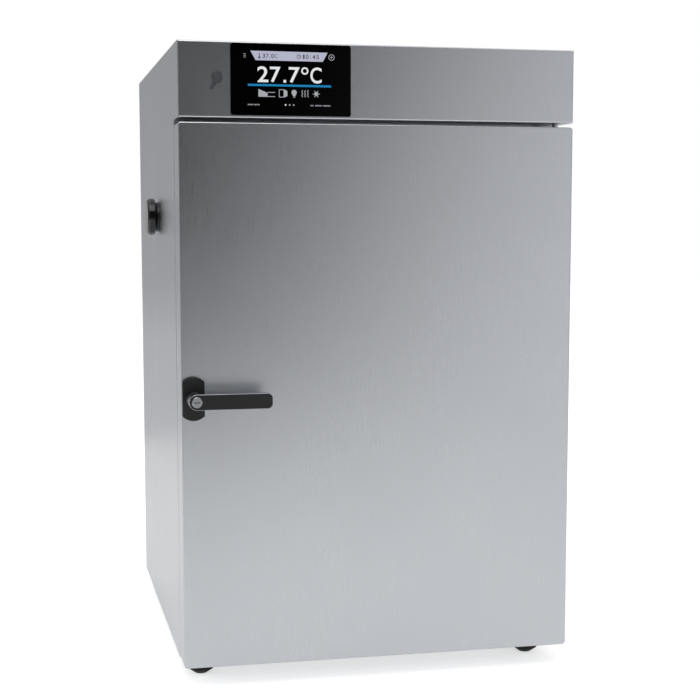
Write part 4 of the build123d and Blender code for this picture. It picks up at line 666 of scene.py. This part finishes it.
def screw_mesh(head, rise):
    """A pan head with a cross recess, standing on its flat side and pointing along +Z."""
    work = bmesh.new()
    rings = [
        [work.verts.new((x, y, rise * up)) for x, y in circle(head * across, HEAD_SIDES)]
        for across, up in HEAD_PROFILE
    ]
    star = [
        (x * CROSS_REACH[i % 4], y * CROSS_REACH[i % 4])
        for i, (x, y) in enumerate(circle(head, HEAD_SIDES))
    ]
    for taper, up in ((1.0, 1.0), (RECESS_TAPER, RECESS_FLOOR)):
        rings.append([work.verts.new((x * taper, y * taper, rise * up)) for x, y in star])
    for lower, upper in zip(rings, rings[1:]):
        for i in range(HEAD_SIDES):
            j = (i + 1) % HEAD_SIDES
            work.faces.new((lower[i], lower[j], upper[j], upper[i]))
    work.faces.new(list(reversed(rings[0])))
    work.faces.new(rings[-1])
    return mesh_of(work, "screw")


# The random node has sockets for each kind of value: these are its highest float and its float result
FLOAT_MAX, FLOAT_RESULT = 3, 1


def scatter_tree(name, piece, made):
    """Geometry nodes: the piece on each point, stood along the point's normal and turned at random."""
    tree = bpy.data.node_groups.new(name, "GeometryNodeTree")
    for socket, way, kind in (
        ("Geometry", "INPUT", "NodeSocketGeometry"),
        ("Size", "INPUT", "NodeSocketFloat"),
        ("Seed", "INPUT", "NodeSocketInt"),
        ("Geometry", "OUTPUT", "NodeSocketGeometry"),
    ):
        tree.interface.new_socket(socket, in_out=way, socket_type=kind)
    given = add(tree, "NodeGroupInput")
    facing = add(tree, "GeometryNodeInputNamedAttribute", {"data_type": "FLOAT_VECTOR", "Name": "facing"})
    stand = add(
        tree,
        "FunctionNodeAlignRotationToVector",
        {"axis": "Z"},
        {"Vector": facing.outputs["Attribute"]},
    )
    turn = add(
        tree,
        "FunctionNodeRandomValue",
        {"data_type": "FLOAT", FLOAT_MAX: math.tau},
        {"Seed": given.outputs["Seed"]},
    )
    spin = add(tree, "ShaderNodeCombineXYZ", None, {"Z": turn.outputs[FLOAT_RESULT]})
    local = add(
        tree,
        "FunctionNodeRotateRotation",
        {"rotation_space": "LOCAL"},
        {"Rotation": stand.outputs["Rotation"], "Rotate By": spin.outputs["Vector"]},
    )
    source = add(tree, "GeometryNodeObjectInfo", {"Object": piece})
    placed = add(
        tree,
        "GeometryNodeInstanceOnPoints",
        None,
        {
            "Points": given.outputs["Geometry"],
            "Instance": source.outputs["Geometry"],
            "Rotation": local.outputs["Rotation"],
            "Scale": given.outputs["Size"],
        },
    )
    real = add(tree, "GeometryNodeRealizeInstances", None, {"Geometry": placed.outputs["Instances"]})
    coloured = add(
        tree, "GeometryNodeSetMaterial", {"Material": made}, {"Geometry": real.outputs["Geometry"]}
    )
    add(tree, "NodeGroupOutput", None, {"Geometry": coloured.outputs["Geometry"]})
    return tree


def scatter(name, piece, made, points, body, inputs):
    """Bakes the piece at each (place, facing) into one plain mesh that rides on the body."""
    cloud = bpy.data.meshes.new(name + "_points")
    cloud.from_pydata([place for place, _ in points], [], [])
    attribute = cloud.attributes.new("facing", "FLOAT_VECTOR", "POINT")
    attribute.data.foreach_set("vector", [part for _, facing in points for part in facing])
    holder = bpy.data.objects.new(name + "_points", cloud)
    modifier = holder.modifiers.new("Scatter", "NODES")
    modifier.node_group = scatter_tree(name + "_tree", piece, made)
    for item in modifier.node_group.interface.items_tree:
        if item.in_out == "INPUT" and item.name in inputs:
            modifier[item.identifier] = inputs[item.name]
    bpy.context.scene.collection.objects.link(holder)
    bpy.context.view_layer.update()
    baked = bpy.data.meshes.new_from_object(holder.evaluated_get(bpy.context.evaluated_depsgraph_get()))
    holder.modifiers.clear()
    bpy.data.objects.remove(holder)
    return finish_mesh(name, baked, made, body)


# Screws on the side panels' rear flanges: how many on each, and how far they are from its ends and edge
REAR_ROWS = 7
REAR_END = 0.03
REAR_INSET = 0.0095
# How far the baffle's screws are from its edges
BAFFLE_INSET = 0.014
# The motor's two screws: how far they are from its axis, and the back of its ears from its front end
MOTOR_REACH = 0.056
MOTOR_EARS = 0.010
# The lower hinge bracket's screws: how far they are from the cabinet's side and the bracket's rear end
HINGE_INSET = 0.009
HINGE_DEPTHS = (0.018, 0.050)


class FASTENER_OT_screws(bpy.types.Operator):
    """Pan head screws on the rear, the baffle, the motor and the hinge"""

    bl_idname = "incubator.screws"
    bl_label = "Screws"

    def execute(self, context):
        sizes = context.scene.incubator_sizes
        made = metal("zinc_plated_screw", "#A9ACAF", roughness=0.3, grain_mm=1.0, bump=0.05)
        piece = bpy.data.objects.new("screw", screw_mesh(sizes.screw_head, sizes.screw_rise))
        bpy.context.scene.collection.objects.link(piece)
        points = [*self.on_rear(), *self.on_baffle(), *self.on_motor(), *self.on_hinge()]
        inputs = {"Size": 1.0, "Seed": sizes.screw_seed}
        scatter("screws", piece, made, points, "cabinet", inputs)
        bpy.data.objects.remove(piece)
        return {"FINISHED"}

    def on_rear(self):
        low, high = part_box("left_side_panel")
        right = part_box("right_side_panel")[1]
        run = high.z - low.z - 2 * REAR_END
        rows = [low.z + REAR_END + i * run / (REAR_ROWS - 1) for i in range(REAR_ROWS)]
        columns = (low.x + REAR_INSET, right.x - REAR_INSET)
        return [((x, high.y, z), (0, 1, 0)) for z in rows for x in columns]

    def on_baffle(self):
        low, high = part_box("air_baffle")
        columns = (low.x + BAFFLE_INSET, high.x - BAFFLE_INSET)
        rows = (low.z + BAFFLE_INSET, (low.z + high.z) / 2, high.z - BAFFLE_INSET)
        return [((x, low.y, z), (0, -1, 0)) for x in columns for z in rows]

    def on_motor(self):
        motor = middle("fan_motor")
        ears = corner("fan_motor").y + MOTOR_EARS
        columns = (motor.x - MOTOR_REACH, motor.x + MOTOR_REACH)
        return [((x, ears, motor.z), (0, 1, 0)) for x in columns]

    def on_hinge(self):
        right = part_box("right_side_panel")[1]
        under, tongue_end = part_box("hinge_brackets")
        column = right.x - HINGE_INSET
        return [((column, tongue_end.y - depth, under.z), (0, 0, -1)) for depth in HINGE_DEPTHS]


# The bellows' section, as shares of the seal's width and of its depth from the door to the frame
GASKET_PROFILE = (
    (-0.5, 0.0), (-0.5, 0.16), (-0.34, 0.26), (-0.34, 0.4), (-0.5, 0.52), (-0.5, 0.9), (-0.4, 1.0),
    (0.4, 1.0), (0.5, 0.9), (0.5, 0.52), (0.34, 0.4), (0.34, 0.26), (0.5, 0.16), (0.5, 0.0),
)
GASKET_RADIUS = 0.008


def rounded_rectangle(x0, x1, z0, z1, radius, steps=6):
    """A rectangle's outline, as points round each of its corners."""
    points = []
    for cx, cz, start in (
        (x1 - radius, z1 - radius, 0),
        (x0 + radius, z1 - radius, 90),
        (x0 + radius, z0 + radius, 180),
        (x1 - radius, z0 + radius, 270),
    ):
        for i in range(steps + 1):
            a = math.radians(start + 90 * i / steps)
            points.append((cx + radius * math.cos(a), cz + radius * math.sin(a)))
    return points


class SEAL_OT_gasket(bpy.types.Operator):
    """The door's seal: a soft bellows with a magnetic bead, run round the door's back"""

    bl_idname = "incubator.gasket"
    bl_label = "Door gasket"

    def execute(self, context):
        low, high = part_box("door_gasket")
        width = context.scene.incubator_sizes.gasket_width
        inset = width / 2
        made = moulded("soft_pvc_grey", "#6A6D70", roughness=0.55, grain_mm=1.0, bump=0.1)
        outline = rounded_rectangle(
            low.x + inset, high.x - inset, low.z + inset, high.z - inset, GASKET_RADIUS
        )
        work = bmesh.new()
        depth = high.y - low.y
        rings = []
        for i, (x, z) in enumerate(outline):
            across = self.mitre(outline, i) * width
            rings.append(
                [
                    work.verts.new((x + across.x * u, low.y + v * depth, z + across.y * u))
                    for u, v in GASKET_PROFILE
                ]
            )
        for i, ring in enumerate(rings):
            following = rings[(i + 1) % len(rings)]
            for j in range(len(GASKET_PROFILE)):
                k = (j + 1) % len(GASKET_PROFILE)
                work.faces.new((ring[j], ring[k], following[k], following[j]))
        mesh = mesh_of(work, "gasket_bellows")
        gasket = finish_mesh("gasket_bellows", mesh, made, "door")
        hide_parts("door_gasket")
        return {"FINISHED"}

    def mitre(self, outline, i):
        """The outline's sideways direction at a point, longer where it turns, so that the width holds."""
        before, here = Vector(outline[i - 1]), Vector(outline[i])
        after = Vector(outline[(i + 1) % len(outline)])
        a, b = (here - before).normalized(), (after - here).normalized()
        side = Vector((-(a + b).y, (a + b).x)).normalized()
        return side / side.dot(Vector((-a.y, a.x)))


# How much light of its own the floor has for the camera and for reflections
SEEN_LIFT = 0.6
MIRRORED_LIFT = 0.26
# The world's level as the room's light and in reflections; the camera sees it as white
ROOM_LEVEL = 0.62
MIRRORED_LEVEL = 0.85
# How much stronger the cards are in blue, which cools the steel a little
CARD_BLUE = 1.02
FLOOR_SIZE = (30, 30)
SENSOR_WIDTH_MM = 36
CLIP_RANGE = (0.05, 60)


class STAGE_OT_studio(bpy.types.Operator):
    """Floor, reflector cards, lights, world and camera"""

    bl_idname = "incubator.studio"
    bl_label = "Studio"

    def execute(self, context):
        scene = context.scene
        stage = scene.incubator_stage
        self.floor(stage)
        self.card(
            "front_card",
            place=(0.7, -3.6, 1.5),
            size=(6.0, 4.6),
            slope=(0.44, -0.22, 0.40),
            stops=[(0.0, 0.0), (0.33, 0.04), (0.62, 0.55), (1.0, 0.9)],
        )
        self.card(
            "side_card",
            place=(-1.95, 2.5, 1.5),
            size=(3.2, 3.4),
            slope=(0.0, -0.5, 0.42),
            stops=[(0.0, 0.34), (0.52, 0.40), (0.9, 0.44), (1.0, 0.6)],
        )
        self.card(
            "left_card",
            place=(-3.0, -1.3, 1.5),
            size=(4.6, 3.4),
            slope=(0.2, 0.0, 0.45),
            stops=[(0.0, 0.03), (1.0, 0.4)],
            turn=90,
        )
        self.card(
            "right_card",
            place=(3.4, -1.0, 1.5),
            size=(4.6, 3.4),
            slope=(0.0, 0.0, 0.5),
            stops=[(0.0, 0.3), (1.0, 0.4)],
            turn=90,
        )
        self.light(
            "key_light", place=(-0.6, -1.4, 3.2), target=(0, 0, 0.6), size=2.4, power=stage.key_power
        )
        fill = self.light(
            "fill_light", place=(-3.2, -0.6, 1.4), target=(0, 0, 0.5), size=2.0, power=stage.fill_power
        )
        fill.visible_glossy = False
        self.world(scene)
        self.camera(scene, stage)
        scene.view_settings.view_transform = "Standard"
        return {"FINISHED"}

    def plane(self, name, size):
        """A rectangle of the stage, flat round the origin."""
        work = bmesh.new()
        w, h = size[0] / 2, size[1] / 2
        work.faces.new([work.verts.new(p) for p in ((-w, -h, 0), (w, -h, 0), (w, h, 0), (-w, h, 0))])
        made = bpy.data.objects.new(name, mesh_of(work, name))
        bpy.context.scene.collection.objects.link(made)
        return made

    def maths(self, tree, operation, *values):
        """A math node over these values, each a number or a socket; returns its result."""
        node = add(tree, "ShaderNodeMath", {"operation": operation})
        for socket, value in zip(node.inputs, values):
            if isinstance(value, bpy.types.NodeSocket):
                tree.links.new(value, socket)
            else:
                socket.default_value = value
        return node.outputs["Value"]

    def seen(self, tree, ray):
        """1 for what the camera sees, also through the glass, and 0 for the rest."""
        outputs = ray.outputs
        return self.maths(tree, "MAXIMUM", outputs["Is Camera Ray"], outputs["Is Transmission Ray"])

    def floor(self, stage):
        """A pale painted floor, lifted to white where the camera or a mirror sees it, with its shadows."""
        floor = self.plane("studio_floor", FLOOR_SIZE)
        made, tree, shader = new_material(
            "painted_floor",
            {
                "Base Color": linear(stage.floor_colour),
                "Roughness": 0.9,
                "Specular IOR Level": 0.0,
                "Emission Color": (1, 1, 1, 1),
            },
        )
        ray = add(tree, "ShaderNodeLightPath")
        mirrored = self.maths(tree, "MULTIPLY", ray.outputs["Is Glossy Ray"], MIRRORED_LIFT)
        lift = self.maths(tree, "MULTIPLY_ADD", self.seen(tree, ray), SEEN_LIFT, mirrored)
        tree.links.new(lift, shader.inputs["Emission Strength"])
        floor.data.materials.append(made)

    def card(self, name, place, size, slope, stops, turn=0):
        """An upright reflector card that only reflections see.

        Its brightness runs through the stops by its slope: the rise per metre along its width, the rise
        per metre up, and the value in its middle.
        """
        card = self.plane(name, size)
        card.location = place
        card.rotation_euler = (math.radians(90), 0, math.radians(turn))
        made = bpy.data.materials.new(name + "_paint")
        made.use_nodes = True
        tree = made.node_tree
        tree.nodes.clear()
        where = add(tree, "ShaderNodeTexCoord")
        parts = add(tree, "ShaderNodeSeparateXYZ", None, {"Vector": where.outputs["Object"]})
        across = self.maths(tree, "MULTIPLY", parts.outputs["X"], slope[0])
        up = self.maths(tree, "MULTIPLY", parts.outputs["Y"], slope[1])
        position = self.maths(tree, "ADD", self.maths(tree, "ADD", across, up), slope[2])
        ramp = add(tree, "ShaderNodeValToRGB", None, {"Fac": position})
        elements = ramp.color_ramp.elements
        while len(elements) < len(stops):
            elements.new(0.5)
        for element, (stop, value) in zip(elements, stops):
            element.position = stop
            element.color = (value, value, value * CARD_BLUE, 1)
        glow = add(tree, "ShaderNodeEmission", None, {"Color": ramp.outputs["Color"]})
        add(tree, "ShaderNodeOutputMaterial", None, {"Surface": glow.outputs["Emission"]})
        card.data.materials.append(made)
        card.visible_camera = False
        card.visible_diffuse = False
        card.visible_shadow = False
        card.visible_transmission = False

    def light(self, name, place, target, size, power):
        """A round lamp that points at its target."""
        data = bpy.data.lights.new(name, "AREA")
        data.shape = "DISK"
        data.size = size
        data.energy = power
        lamp = bpy.data.objects.new(name, data)
        lamp.location = place
        lamp.rotation_euler = (Vector(target) - Vector(place)).to_track_quat("-Z", "Y").to_euler()
        bpy.context.scene.collection.objects.link(lamp)
        return lamp

    def world(self, scene):
        """White for the camera, and softer greys in reflections and as the room's light."""
        world = bpy.data.worlds.new("studio_world")
        world.use_nodes = True
        tree = world.node_tree
        back = tree.nodes["Background"]
        ray = add(tree, "ShaderNodeLightPath")
        level = add(
            tree,
            "ShaderNodeMix",
            {"data_type": "FLOAT", "A": ROOM_LEVEL, "B": 1.0},
            {"Factor": self.seen(tree, ray)},
        )
        mirror = add(
            tree,
            "ShaderNodeMix",
            {"data_type": "FLOAT", "B": MIRRORED_LEVEL},
            {"Factor": ray.outputs["Is Glossy Ray"], "A": level.outputs["Result"]},
        )
        back.inputs["Color"].default_value = (1, 1, 1, 1)
        tree.links.new(mirror.outputs["Result"], back.inputs["Strength"])
        scene.world = world

    def camera(self, scene, stage):
        """The photograph's camera: level in its roll, turned to the right and tilted down."""
        data = bpy.data.cameras.new("camera")
        data.lens = stage.lens
        data.sensor_width = SENSOR_WIDTH_MM
        data.shift_x, data.shift_y = stage.camera_shift
        data.clip_start, data.clip_end = CLIP_RANGE
        camera = bpy.data.objects.new("camera", data)
        turn, tilt = (math.radians(a) for a in stage.camera_heading)
        level = math.cos(tilt)
        forward = Vector((math.sin(turn) * level, math.cos(turn) * level, -math.sin(tilt)))
        camera.location = stage.camera_place
        camera.rotation_mode = "QUATERNION"
        camera.rotation_quaternion = forward.to_track_quat("-Z", "Y")
        scene.collection.objects.link(camera)
        scene.camera = camera


STEPS = (
    STEEL_OT_sheets,
    MOULDING_OT_finishes,
    DISPLAY_OT_screen,
    FASTENER_OT_screws,
    SEAL_OT_gasket,
    STAGE_OT_studio,
)


class INCUBATOR_PT_panel(bpy.types.Panel):
    """Lists the incubator's steps and settings"""

    bl_idname = "INCUBATOR_PT_panel"
    bl_label = "Incubator"
    bl_space_type = "VIEW_3D"
    bl_region_type = "UI"
    bl_category = "Incubator"

    def draw(self, context):
        for step in STEPS:
            self.layout.operator(step.bl_idname)
        for group in ("incubator_finish", "incubator_sizes", "incubator_stage"):
            settings = getattr(context.scene, group)
            box = self.layout.box()
            for name in settings.__annotations__:
                box.prop(settings, name)


CLASSES = (IncubatorFinish, IncubatorSizes, IncubatorStage, *STEPS, INCUBATOR_PT_panel)


def register():
    for made in CLASSES:
        bpy.utils.register_class(made)
    bpy.types.Scene.incubator_finish = PointerProperty(type=IncubatorFinish)
    bpy.types.Scene.incubator_sizes = PointerProperty(type=IncubatorSizes)
    bpy.types.Scene.incubator_stage = PointerProperty(type=IncubatorStage)


def unregister():
    del bpy.types.Scene.incubator_stage
    del bpy.types.Scene.incubator_sizes
    del bpy.types.Scene.incubator_finish
    for made in reversed(CLASSES):
        bpy.utils.unregister_class(made)


def main():
    register()
    bpy.ops.incubator.steel_sheets()
    bpy.ops.incubator.moulded_finishes()
    bpy.ops.incubator.display_screen()
    bpy.ops.incubator.screws()
    bpy.ops.incubator.gasket()
    bpy.ops.incubator.studio()


if __name__ == "__main__":
    main()
